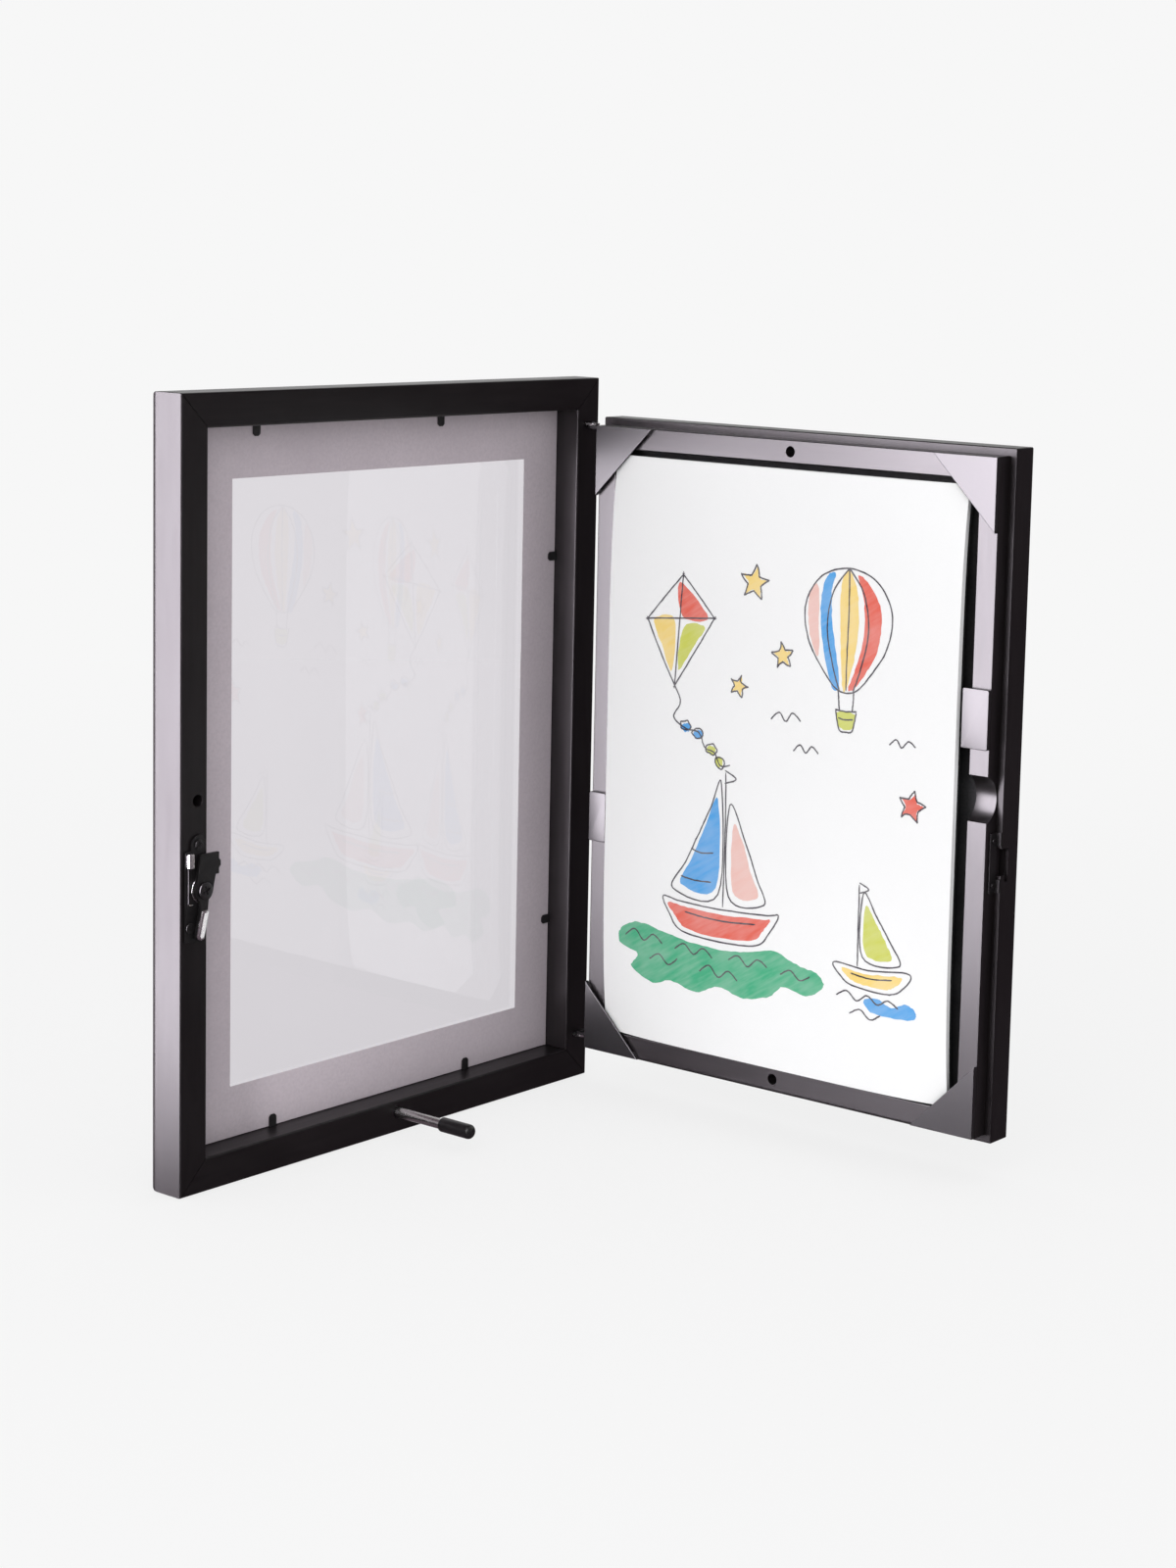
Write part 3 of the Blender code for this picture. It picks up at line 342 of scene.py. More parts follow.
def finished_material(
    name, colour, second, roughness, spread, patch, grain, depth,
    stretch=(1, 1, 1), metallic=0.0, gloss=0.5,
):
    """A material of the frame: two colours, roughness, gloss and the size and depth of its grain."""
    material, nodes, links, shader = bare_material(name)
    shader.inputs["Metallic"].default_value = metallic
    shader.inputs["Specular IOR Level"].default_value = gloss
    finish = nodes.new("ShaderNodeGroup")
    finish.node_tree = fine_finish
    finish.inputs["Colour"].default_value = (*colour, 1)
    finish.inputs["Second colour"].default_value = (*second, 1)
    finish.inputs["Roughness"].default_value = roughness
    finish.inputs["Roughness spread"].default_value = spread
    finish.inputs["Patch scale"].default_value = patch
    finish.inputs["Grain scale"].default_value = grain
    finish.inputs["Grain depth"].default_value = depth
    finish.inputs["Stretch"].default_value = stretch
    links.new(finish.outputs["Colour"], shader.inputs["Base Color"])
    links.new(finish.outputs["Roughness"], shader.inputs["Roughness"])
    links.new(finish.outputs["Normal"], shader.inputs["Normal"])
    return material


def work_on(piece):
    """Make a piece the only selected one."""
    bpy.ops.object.select_all(action="DESELECT")
    bpy.context.view_layer.objects.active = piece
    piece.select_set(True)


def break_edges(piece, width, segments, angle, limit="ANGLE"):
    """Round off the edges sharper than an angle or, with WEIGHT as the limit, the marked ones."""
    bevel = piece.modifiers.new("broken_edges", "BEVEL")
    bevel.width = width
    bevel.segments = segments
    bevel.limit_method = limit
    bevel.angle_limit = angle
    bpy.ops.object.modifier_apply(modifier=bevel.name)


def refined(name, body, material, edge, segments=2, glued=False):
    """A finer copy of a rough piece, with its faces joined and its edges broken.

    Where the piece is glued on a mitre, the edges of the joint stay closed."""
    piece = bpy.data.objects.new(name + "_finished", rough_nodes[name].data.copy())
    bpy.context.scene.collection.objects.link(piece)
    work_on(piece)
    bpy.ops.mesh.customdata_custom_splitnormals_clear()
    bpy.ops.object.mode_set(mode="EDIT")
    bpy.ops.mesh.select_all(action="SELECT")
    bpy.ops.mesh.remove_doubles(threshold=weld_reach)
    bpy.ops.mesh.dissolve_limited(angle_limit=flat_angle)
    bpy.ops.object.mode_set(mode="OBJECT")
    if glued:
        mesh = bmesh.new()
        mesh.from_mesh(piece.data)
        open_edge = mesh.edges.layers.float.new("bevel_weight_edge")
        for line in mesh.edges:
            on_joint = any(
                abs(face.normal.y) < square_on
                and abs(abs(face.normal.x) - abs(face.normal.z)) < mitre_tolerance
                for face in line.link_faces
            )
            line[open_edge] = 0.0 if on_joint or line.calc_face_angle(0) < edge_angle else 1.0
        mesh.to_mesh(piece.data)
        mesh.free()
    if edge:
        break_edges(piece, edge, segments, edge_angle, limit="WEIGHT" if glued else "ANGLE")
    bpy.ops.object.shade_smooth_by_angle(angle=soft_angle)
    flat_faces = piece.modifiers.new("flat_faces", "WEIGHTED_NORMAL")
    flat_faces.keep_sharp = True
    bpy.ops.object.modifier_apply(modifier=flat_faces.name)
    piece.data.materials.clear()
    piece.data.materials.append(material)
    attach(piece, body)
    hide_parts(name)
    return piece


for lie, stretch, rails in (
    ("level", (0.08, 1, 1), ("top_rail", "bottom_rail")),
    ("upright", (1, 1, 0.08), ("latch_stile", "hinge_stile")),
):
    paint = finished_material(
        "moulding_paint_" + lie, paint_black, paint_worn, roughness=0.36, spread=0.25, patch=14,
        grain=420, depth=0.05, stretch=stretch, gloss=paint_gloss,
    )
    for rail in rails:
        moulding = refined(rail, "front_frame", paint, edge=paint_edge, glued=True)
        # The narrow part of the soft box would draw a ragged white line on the moulding's edge
        share_light(moulding, side_boxes[1:])

# Biscuits. Pressed beech discs, glued unseen into sawn pockets across the
# four mitres.
beech = finished_material(
    "pressed_beech", (0.50, 0.33, 0.18), (0.62, 0.45, 0.27), roughness=0.75, spread=0.2, patch=60,
    grain=700, depth=0.5, stretch=(0.15, 1, 1),
)
for number in (1, 2, 3, 4):
    refined(f"corner_biscuit_{number}", "front_frame", beech, edge=0.0002)

# Glass. One sheet of clear float glass with ground edges, laid in the rabbet
# behind the moulding's lip.
glass_tint = (0.775, 0.75, 0.785, 1)
glass_tint_wiped = (0.815, 0.79, 0.825, 1)
glass_haze = 0.02
glass, nodes, links, shader = bare_material("float_glass")
shader.inputs["Transmission Weight"].default_value = 1.0
shader.inputs["IOR"].default_value = 1.45
shader.inputs["Specular IOR Level"].default_value = 0.35
place = nodes.new("ShaderNodeTexCoord")
wiping = noise(nodes, links, place.outputs["Object"], scale=9, detail=2)
haze = in_range(nodes, links, wiping, wanted=(0, glass_haze))
links.new(haze, shader.inputs["Roughness"])
tint = blended(nodes, links, wiping, glass_tint, glass_tint_wiped)
links.new(tint, shader.inputs["Base Color"])
pane = refined("glass_pane", "front_frame", glass, edge=0.0003, segments=1)
# Gloss looks through the pane, so that the panel picks up the soft box
# through the window, and the pane itself mirrors no soft box.
pane.visible_glossy = False
share_light(pane, side_boxes)

# Mat board. A 1.5 mm card with a grey backing paper, a white core that shows
# in the bevelled window, and a white face towards the glass.
mat_back = finished_material(
    "mat_backing", (0.412, 0.364, 0.398), (0.468, 0.415, 0.450), roughness=0.85, spread=0.2, patch=12,
    grain=800, depth=0.5, gloss=0.12,
)
mat_core = finished_material(
    "mat_core", (0.80, 0.80, 0.80), (0.90, 0.90, 0.90), roughness=0.9, spread=0.2, patch=60, grain=1200,
    depth=0.6, gloss=0.1,
)
mat_face = finished_material(
    "mat_face", (0.80, 0.795, 0.78), (0.86, 0.855, 0.84), roughness=0.9, spread=0.2, patch=25,
    grain=700, depth=0.5, gloss=0.1,
)
mat = refined("mat_board", "front_frame", mat_back, edge=0)
mat.data.materials.append(mat_core)
mat.data.materials.append(mat_face)
for face in mat.data.polygons:
    if face.normal.y < -square_on:
        face.material_index = 2
    elif face.normal.y < square_on:
        face.material_index = 1

# Retaining tabs. Blackened steel points, pushed into slots in the rabbet wall
# and bent flat over the back of the mat.
tab_steel = finished_material(
    "blackened_tab_steel", (0.010, 0.0095, 0.010), (0.022, 0.021, 0.022), roughness=0.42, spread=0.5,
    patch=120, grain=1500, depth=0.4, metallic=0.3, gloss=0.4,
)
for side in ("top", "bottom", "hinge", "latch"):
    for number in (1, 2):
        refined(f"retaining_tab_{side}_{number}", "front_frame", tab_steel, edge=0.00015)

# Latch. A black base plate with an ear, a nickel washer and a spring wire in
# its bright block, and over them a stamped black lever with a nickel thumb pad.
# How far up from its lowest point the spring wire is given bright nickel, as a painted glint
glint_foot = 0.0009
thumb_rounding = 0.0012
thumb_steps = 7
thumb_soft_angle = math.radians(60)
latch_black = finished_material(
    "latch_black", (0.0075, 0.0068, 0.0073), (0.016, 0.0145, 0.0155), roughness=0.42, spread=0.4,
    patch=150, grain=1300, depth=0.12, metallic=0.1, gloss=0.35,
)
nickel = finished_material(
    "bright_nickel", (0.74, 0.735, 0.73), (0.84, 0.835, 0.83), roughness=0.26, spread=0.3, patch=200,
    grain=1600, depth=0.01, metallic=1.0,
)
thumb_nickel = finished_material(
    "thumb_nickel", (0.80, 0.795, 0.80), (0.86, 0.855, 0.86), roughness=0.27, spread=0.1, patch=150,
    grain=900, depth=0.004, stretch=(1, 1, 0.1), metallic=1.0,
)
spring_steel = finished_material(
    "spring_wire_steel", (0.05, 0.048, 0.05), (0.10, 0.096, 0.10), roughness=0.35, spread=0.3,
    patch=200, grain=1600, depth=0.1, metallic=1.0,
)
base_plate = refined("latch_base_plate", "front_frame", latch_black, edge=0.0002)
washer = refined("latch_washer", "front_frame", nickel, edge=0.00028, segments=5)
block = refined("latch_spring_block", "front_frame", nickel, edge=0.0004, segments=3)
wire = refined("latch_spring", "front_frame", spring_steel, edge=0.00018, segments=3)
# The wire's foot takes the bright nickel: a painted highlight on the dark wire where it stands in the block
wire.data.materials.append(nickel)
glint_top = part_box("latch_spring")[0][2] + glint_foot
for face in wire.data.polygons:
    if face.center.z < glint_top:
        face.material_index = 1
lever = refined("latch_lever", "latch", latch_black, edge=0.0002, segments=3)
thumb_pad = refined("latch_thumb_pad", "latch", thumb_nickel, edge=0)
bpy.ops.mesh.customdata_custom_splitnormals_clear()


def pick_faces(piece, wanted):
    """Go into edit mode with only the wanted faces selected."""
    bpy.ops.object.mode_set(mode="EDIT")
    bpy.ops.mesh.select_mode(type="FACE")
    bpy.ops.mesh.select_all(action="DESELECT")
    bpy.ops.object.mode_set(mode="OBJECT")
    for face in piece.data.polygons:
        face.select = wanted(face.normal)
    bpy.ops.object.mode_set(mode="EDIT")


pick_faces(thumb_pad, lambda normal: normal.y > square_on)
bpy.ops.transform.translate(value=(0, -thumb_rounding, 0))
for step in range(thumb_steps):
    start, end = (math.pi / 2 * (step + more) / thumb_steps for more in (0, 1))
    bpy.ops.mesh.inset(
        thickness=thumb_rounding * (math.cos(start) - math.cos(end)),
        depth=thumb_rounding * (math.sin(end) - math.sin(start)),
    )
bpy.ops.object.mode_set(mode="OBJECT")
bpy.ops.object.shade_smooth_by_angle(angle=thumb_soft_angle)
for piece in (base_plate, lever, thumb_pad):
    share_light(piece, side_boxes)
for piece in (washer, block, wire):
    share_light(piece, [nickel_strip], "INCLUDE")
share_light(thumb_pad, [thumb_card], "INCLUDE")

# Screws. Pan heads with a cross recess, black, turned and threaded steel; the
# largest, polished, is the latch's pivot, the others fix its plate and the
# strike plate.
pivot_black = finished_material(
    "pivot_black", (0.030, 0.028, 0.030), (0.050, 0.047, 0.050), roughness=0.30, spread=0.2, patch=150,
    grain=1300, depth=0.02, metallic=0.6, gloss=0.6,
)
recess_turn = 20
recess_length = 1.15
recess_width = 0.24
recess_depth = 1.1
crown_rounding = 0.45
crown_angle = math.radians(60)
screw_soft_angle = math.radians(35)


def cross_screw(name, body, outward, head_radius, head_height, shank_radius):
    """A cross-head screw that takes the place of a rough one."""
    low, high = (Vector(corner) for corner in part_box(name))
    axis = Vector(outward)
    length = abs((high - low).dot(axis))
    crown = (low + high) / 2 + axis * length / 2
    bpy.ops.object.select_all(action="DESELECT")
    bpy.ops.mesh.primitive_cylinder_add(
        vertices=40, radius=head_radius, depth=head_height, location=(0, 0, -head_height / 2),
    )
    screw = bpy.context.object
    screw.name = name + "_finished"
    bpy.ops.object.transform_apply(location=True)
    pick_faces(screw, lambda normal: normal.z < -square_on)
    bpy.ops.mesh.inset(thickness=head_radius - shank_radius)
    bpy.ops.mesh.extrude_region_move(TRANSFORM_OT_translate={"value": (0, 0, head_height - length)})
    bpy.ops.object.mode_set(mode="OBJECT")
    break_edges(screw, head_height * crown_rounding, segments=4, angle=crown_angle)
    for turn in (0, 90):
        bpy.ops.object.select_all(action="DESELECT")
        bpy.ops.mesh.primitive_cube_add(size=1, rotation=(0, 0, math.radians(turn + recess_turn)))
        cutter = bpy.context.object
        cutter.scale = (head_radius * recess_length, head_radius * recess_width, head_height * recess_depth)
        bpy.ops.object.transform_apply(location=True, rotation=True, scale=True)
        recess = screw.modifiers.new("recess", "BOOLEAN")
        recess.operation = "DIFFERENCE"
        recess.object = cutter
        work_on(screw)
        bpy.ops.object.modifier_apply(modifier=recess.name)
        bpy.data.objects.remove(cutter)
    bpy.ops.object.shade_smooth_by_angle(angle=screw_soft_angle)
    screw.matrix_world = Matrix.Translation(crown) @ axis.to_track_quat("Z", "Y").to_matrix().to_4x4()
    bpy.ops.object.transform_apply(location=True, rotation=True)
    screw.data.materials.append(latch_black)
    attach(screw, body)
    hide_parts(name)
    return screw


pivot = cross_screw(
    "latch_pivot_screw", "front_frame", (0, 1, 0), head_radius=0.0038, head_height=0.0012,
    shank_radius=0.0015,
)
pivot.data.materials[0] = pivot_black
share_light(pivot, [nickel_strip], "INCLUDE")
for number in (1, 2):
    screw = cross_screw(
        f"latch_fixing_screw_{number}", "front_frame", (0, 1, 0), head_radius=0.0024,
        head_height=0.0006, shank_radius=0.0011,
    )
    share_light(screw, [nickel_strip], "INCLUDE")

# Support peg. A bright steel rod pushed into the bottom rail, with a moulded
# rubber tip on its free end.
rod_steel = finished_material(
    "rod_steel", (0.62, 0.63, 0.61), (0.74, 0.75, 0.73), roughness=0.26, spread=0.3, patch=90,
    grain=1500, depth=0.01, stretch=(1, 0.04, 1), metallic=1.0,
)
rubber = finished_material(
    "tip_rubber", (0.0065, 0.0060, 0.0065), (0.012, 0.011, 0.012), roughness=0.34, spread=0.4,
    patch=200, grain=1300, depth=0.1, gloss=0.5,
)
tip_end_rounding = 0.72
tip_mouth_rounding = 0.0005
rod = refined("peg_rod", "peg", rod_steel, edge=0.0003)
low, high = (Vector(corner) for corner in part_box("peg_tip"))
tip_radius = (high.x - low.x) / 2
bpy.ops.object.select_all(action="DESELECT")
bpy.ops.mesh.primitive_cylinder_add(
    vertices=48, radius=tip_radius, depth=high.y - low.y, location=(low + high) / 2,
    rotation=(math.radians(-90), 0, 0),
)
tip = bpy.context.object
tip.name = "peg_tip_finished"
bpy.ops.object.transform_apply(location=True, rotation=True)
for side, rounding, steps in ((1, tip_radius * tip_end_rounding, 9), (-1, tip_mouth_rounding, 3)):
    pick_faces(tip, lambda normal: normal.y * side > square_on)
    bpy.ops.mesh.bevel(offset=rounding, segments=steps, affect="EDGES")
    bpy.ops.object.mode_set(mode="OBJECT")
bpy.ops.object.shade_smooth_by_angle(angle=soft_angle)
tip.data.materials.append(rubber)
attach(tip, "peg")
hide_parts("peg_tip")
for piece in (rod, tip):
    share_light(piece, side_boxes)
share_light(tip, [nickel_strip], "INCLUDE")

# Knife hinges. A nickel plate let into the stile and a black arm let into the
# panel turn on a riveted pin, at the top and at the bottom.
for end in ("top", "bottom"):
    plate = refined("hinge_plate_" + end, "front_frame", nickel, edge=0.00012)
    pin = refined(
        "hinge_pin_" + end, "front_frame", spring_steel, edge=0.0002, segments=3,
    )
    refined("hinge_arm_" + end, "storage_panel", latch_black, edge=0.00012)
    for piece in (plate, pin):
        share_light(piece, side_boxes)

# Storage panel. A thick board and, on its face, a tray of four mitred rails,
# glued on and sprayed in the moulding's satin black.
board_paint = finished_material(
    "board_paint", paint_black, paint_worn, roughness=0.38, spread=0.25, patch=14, grain=420,
    depth=0.06, stretch=(1, 1, 0.12), gloss=paint_gloss,
)
refined("back_board", "storage_panel", board_paint, edge=paint_edge)
for lie, stretch, rails in (
    ("level", (1, 0.08, 1), ("tray_rail_top", "tray_rail_bottom")),
    ("upright", (1, 1, 0.08), ("tray_rail_latch_side", "tray_rail_hinge_side")),
):
    paint = finished_material(
        "tray_paint_" + lie, paint_black, paint_worn, roughness=0.35, spread=0.2, patch=16, grain=520,
        depth=0.04, stretch=stretch, gloss=0.48,
    )
    for rail in rails:
        refined(rail, "storage_panel", paint, edge=paint_edge)

# Strike plate. A folded black steel angle that the latch's nose hooks behind,
# held on the tray's outer side by two small screws.
panel_opening = math.radians(90.9)
panel_along = (math.cos(panel_opening), math.sin(panel_opening), 0)
refined("strike_plate", "storage_panel", latch_black, edge=0.00015)
for number in (1, 2):
    cross_screw(
        f"strike_screw_{number}", "storage_panel", panel_along, head_radius=0.0014, head_height=0.0006,
        shank_radius=0.0009,
    )

# Corner pockets and side tabs. Thin satin black mouldings, glued on the tray's
# face, that hold the sheets at their corners and edges.
pocket_plastic = finished_material(
    "pocket_plastic", (0.0085, 0.0080, 0.0088), (0.0125, 0.0115, 0.0125), roughness=0.32, spread=0.15,
    patch=18, grain=1400, depth=0.03, gloss=0.52,
)
for height in ("upper", "lower"):
    for side in ("hinge", "latch"):
        refined(
            f"corner_pocket_{height}_{side}", "storage_panel", pocket_plastic,
            edge=0.0004, segments=3,
        )
side_tab_corner = 0.0009
side_tab_edge = 0.0003
side_tab_edge_angle = math.radians(50)
pivot_place = Vector((-0.13405, 0.0145, 0))
panel_turn = Matrix.Rotation(panel_opening, 4, "Z")
for side in ("hinge", "latch"):
    name = "side_tab_" + side
    shut = [panel_turn.inverted() @ (vertex.co - pivot_place) for vertex in rough_nodes[name].data.vertices]
    low, high = (
        Vector([pick(point[axis] for point in shut) for axis in range(3)]) for pick in (min, max)
    )
    bpy.ops.object.select_all(action="DESELECT")
    bpy.ops.mesh.primitive_cube_add(size=1, location=(low + high) / 2)
    tab = bpy.context.object
    tab.name = name + "_finished"
    tab.scale = high - low
    bpy.ops.object.transform_apply(location=True, scale=True)
    bpy.ops.object.mode_set(mode="EDIT")
    bpy.ops.mesh.select_mode(type="EDGE")
    bpy.ops.mesh.select_all(action="DESELECT")
    bpy.ops.object.mode_set(mode="OBJECT")
    for line in tab.data.edges:
        start, end = (tab.data.vertices[index].co for index in line.vertices)
        line.select = abs(start.x - end.x) + abs(start.z - end.z) < weld_reach
    bpy.ops.object.mode_set(mode="EDIT")
    bpy.ops.mesh.bevel(offset=side_tab_corner, segments=4, affect="EDGES")
    bpy.ops.object.mode_set(mode="OBJECT")
    break_edges(tab, side_tab_edge, segments=3, angle=side_tab_edge_angle)
    bpy.ops.object.shade_smooth_by_angle(angle=soft_angle)
    for vertex in tab.data.vertices:
        vertex.co = pivot_place + panel_turn @ vertex.co
    tab.data.materials.append(pocket_plastic)
    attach(tab, "storage_panel")
    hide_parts(name)

# Behind the sheets. A black liner card on the board, two bow springs of
# nickelled strip, and the black pressure card that they push forward.
black_card = finished_material(
    "black_card", (0.012, 0.012, 0.013), (0.025, 0.025, 0.026), roughness=0.85, spread=0.2, patch=50,
    grain=900, depth=0.6, gloss=0.2,
)
for card in ("tray_liner", "pressure_card"):
    refined(card, "storage_panel", black_card, edge=0)
for end in ("upper", "lower"):
    refined("bow_spring_" + end, "storage_panel", nickel, edge=0.00012)

# Stored sheets. A pile of two dozen plain sheets, bowed forward by the
# springs, whose edges show the single leaves.
board_face = -0.0050
sheet_size = (0.210, 0.297)
sheet_centre = (0.13185, 0.1832)
sheet_corner_rise = 0.0076
sheet_bow = 0.0046
sheet_bow_power = 5
sheet_thickness = 0.00025
leaf_gap = 0.00015
pile_thickness = 0.0026
pile_leaves = 24
# Grey of the painted shade in the gaps between the leaves on the pile's edge
leaf_gap_painted_shade = (0.42, 0.41, 0.42, 1)
leaf_white = (0.82, 0.815, 0.82, 1)


def on_sheet(across, up, lift):
    """Where a point of the bowed sheet lies; across and up in metres from its middle."""
    share = abs((2 * across / sheet_size[0]) * (2 * up / sheet_size[1]))
    rise = sheet_corner_rise + sheet_bow * (1 - min(share, 1) ** sheet_bow_power) + lift
    closed = Vector((sheet_centre[0] + across, board_face - rise, sheet_centre[1] + up))
    return pivot_place + panel_turn @ closed


def bowed_sheet(name, lift, thickness, columns, rows, materials):
    """A sheet or pile that follows the bow, with its edges in a second material."""
    bpy.ops.object.select_all(action="DESELECT")
    bpy.ops.mesh.primitive_grid_add(x_subdivisions=columns, y_subdivisions=rows, size=1)
    sheet = bpy.context.object
    sheet.name = name
    for vertex in sheet.data.vertices:
        vertex.co = on_sheet(vertex.co.x * sheet_size[0], vertex.co.y * sheet_size[1], lift)
    front_points = len(sheet.data.vertices)
    body = sheet.modifiers.new("thickness", "SOLIDIFY")
    body.thickness = thickness
    body.offset = -1
    body.material_offset_rim = 1
    bpy.ops.object.modifier_apply(modifier=body.name)
    depth = sheet.data.attributes.new("leaf_depth", "FLOAT", "POINT")
    for index in range(len(sheet.data.vertices)):
        depth.data[index].value = 0.0 if index < front_points else 1.0
    bpy.ops.object.shade_smooth_by_angle(angle=soft_angle)
    for material in materials:
        sheet.data.materials.append(material)
    return sheet


pile_paper = finished_material(
    "pile_paper", (0.84, 0.84, 0.845), (0.90, 0.90, 0.905), roughness=0.85, spread=0.2, patch=30,
    grain=900, depth=0.4, gloss=0.0,
)
leaf_edges, nodes, links, shader = bare_material("leaf_edges")
shader.inputs["Specular IOR Level"].default_value = 0.0
depth = nodes.new("ShaderNodeAttribute")
depth.attribute_name = "leaf_depth"
leaves = joined(nodes, links, "MULTIPLY", depth.outputs["Fac"], pile_leaves)
place = nodes.new("ShaderNodeTexCoord")
waver = noise(nodes, links, place.outputs["Object"], scale=60, detail=2)
leaves = joined(nodes, links, "ADD", leaves, waver)
# Over each leaf the edge goes from grey to white and back; the grey is painted shade in the gaps between
# the leaves
between = joined(nodes, links, "PINGPONG", leaves, 0.5)
between = joined(nodes, links, "MULTIPLY", between, 2)
shade = blended(nodes, links, between, leaf_gap_painted_shade, leaf_white)
links.new(shade, shader.inputs["Base Color"])
chalkiness = in_range(nodes, links, waver, wanted=(0.8, 0.95))
links.new(chalkiness, shader.inputs["Roughness"])
slopes = relief(nodes, links, between, strength=0.4, distance=grain_relief)
links.new(slopes, shader.inputs["Normal"])
pile = bowed_sheet(
    "paper_pile", -sheet_thickness - leaf_gap, pile_thickness, columns=42, rows=60,
    materials=(pile_paper, leaf_edges),
)
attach(pile, "storage_panel")
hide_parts("paper_stack")

# Front sheet. Smooth white drawing paper, 210 x 297 mm, slipped under the
# corner pockets so that its corners are held down.
drawing_paper = finished_material(
    "drawing_paper", (0.93, 0.93, 0.933), (0.945, 0.945, 0.948), roughness=0.8, spread=0.2, patch=20,
    grain=1100, depth=0.4, gloss=0.0,
)
paper_edge = finished_material(
    "paper_edge", (0.80, 0.80, 0.805), (0.88, 0.88, 0.885), roughness=0.9, spread=0.2, patch=200,
    grain=1500, depth=0.3, gloss=0.0,
)
top_sheet = bowed_sheet(
    "drawing_sheet", 0, sheet_thickness, columns=84, rows=120, materials=(drawing_paper, paper_edge),
)
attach(top_sheet, "storage_panel")
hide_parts("front_sheet")

# Felt-pen colours of the drawing. Loose patches of ink that don't quite meet
# their outlines: sails, a striped balloon, a kite, stars and a green sea.
patch_lift = 0.00008
patch_thickness = 0.00003
patch_cell = 5
patch_reach_across = 100
patch_reach_up = 145
patch_steps = 7
patch_shake = 0.16
patch_weld = 0.001
star_corners = 10
ring_steps = 10
ring_unevenness = 0.1
millimetre = 0.001
ink_cover = 0.84
paper_white = 0.92
ink_least = 0.12
ink_most = 0.40
pen_slant = math.radians(32)
pen_stretch = 7
fibre_relief = 0.00005
hand = np.random.default_rng(seed=7)


def smooth_line(points, closed, steps, shake):
    """A hand-drawn line through its points, in millimetres on the sheet."""
    given = [np.array(point, dtype=float) for point in points]
    count = len(given)
    line = []
    for index in range(count if closed else count - 1):
        before = given[(index - 1) % count] if closed or index else given[0]
        here = given[index]
        there = given[(index + 1) % count]
        after = given[(index + 2) % count] if closed or index + 2 < count else there
        for step in range(steps):
            # A cubic that runs smoothly through both points
            t = step / steps
            point = 0.5 * (
                2 * here + (there - before) * t + (2 * before - 5 * here + 4 * there - after) * t ** 2
                + (3 * here - before - 3 * there + after) * t ** 3
            )
            line.append(point + hand.normal(0, shake, 2))
    if not closed:
        line.append(given[-1])
    return line


def ring_points(centre, reach):
    """Points round an oval, a little uneven."""
    points = []
    for step in range(ring_steps):
        angle = 2 * math.pi * step / ring_steps
        stray = 1 + hand.normal(0, ring_unevenness)
        points.append((
            centre[0] + reach[0] * stray * math.cos(angle), centre[1] + reach[1] * stray * math.sin(angle),
        ))
    return points


def star_points(centre, reach, turn, inner=0.45):
    """Corners of a five-pointed star, turned by degrees, with the inner ones nearer its centre."""
    points = []
    for step in range(star_corners):
        angle = math.radians(turn + 360 / star_corners * step)
        radius = reach if step % 2 == 0 else reach * inner
        points.append((centre[0] + radius * math.cos(angle), centre[1] + radius * math.sin(angle)))
    return points


colour_patches = {
    "felt_blue": ((0.105, 0.385, 0.79), [
        [(-33, -18), (-33, -63), (-55, -64), (-49, -51), (-41, -34)],
        [(33, 47), (38, 46.5), (36, 60), (33, 76), (32, 92), (34, 101), (29, 99), (26, 88), (27, 70)],
        ring_points((-46.5, 13), (3.2, 2.2)), ring_points((-54, 15.5), (2.8, 2.4)),
        [(58, -104), (66, -102), (74, -105), (82, -102), (88, -105), (86, -109), (74, -110), (62, -109)],
    ]),
    "felt_coral": ((0.80, 0.165, 0.125), [
        [
            (-63, -75), (-50, -75.5), (-28, -76), (-5, -74.5), (1, -74), (-4, -81), (-10, -86), (-32, -88),
            (-52, -86), (-58, -81),
        ],
        [
            (43, 46), (47, 47), (54, 56), (60, 68), (61, 84), (55, 96), (47, 101), (51, 88), (51, 70),
            (47, 56),
        ],
        [(-60, 88), (-42, 72), (-58, 71)],
        star_points((82, -6), 7, turn=75, inner=0.5),
    ]),
    "felt_pink": ((0.87, 0.56, 0.51), [
        [(-23, -30), (-22.5, -63), (-7, -64), (-12, -51), (-17, -38)],
        [(18.5, 84), (20, 70), (25, 60), (25, 76), (24, 94), (20, 92)],
    ]),
    "felt_yellow": ((0.93, 0.69, 0.235), [
        [(-76, 68), (-63, 69), (-64, 43), (-71, 56)],
        star_points((-14, 92), 8, turn=80), star_points((4, 58), 6, turn=96),
        star_points((-22, 40), 5, turn=70),
        [(45, -90), (60, -91), (79, -89.5), (75, -95), (68, -97), (54, -96), (48, -94)],
        [(40, 46), (42, 46), (46, 60), (48, 76), (47, 92), (43, 102), (39, 101), (37, 88), (38, 66)],
    ]),
    "felt_lime": ((0.63, 0.66, 0.135), [
        [(57.5, -58), (58, -81), (73, -82), (69, -73), (63, -64)],
        [(-44, 67), (-57, 66), (-60, 44), (-50, 58)],
        [(37, 34), (47.5, 34), (46, 27), (39, 27)],
        ring_points((-38, 6), (3.0, 2.4)), ring_points((-33, 1), (2.6, 2.8)),
    ]),
    "felt_green": ((0.085, 0.44, 0.245), [[
        (-92, -92), (-80, -88), (-64, -91), (-48, -93), (-30, -94), (-12, -92), (4, -89), (16, -93),
        (30, -96), (34, -102), (24, -108), (10, -106), (2, -112), (-14, -116), (-30, -113), (-44, -118),
        (-60, -115), (-72, -118), (-86, -112), (-82, -105), (-94, -100),
    ]]),
}


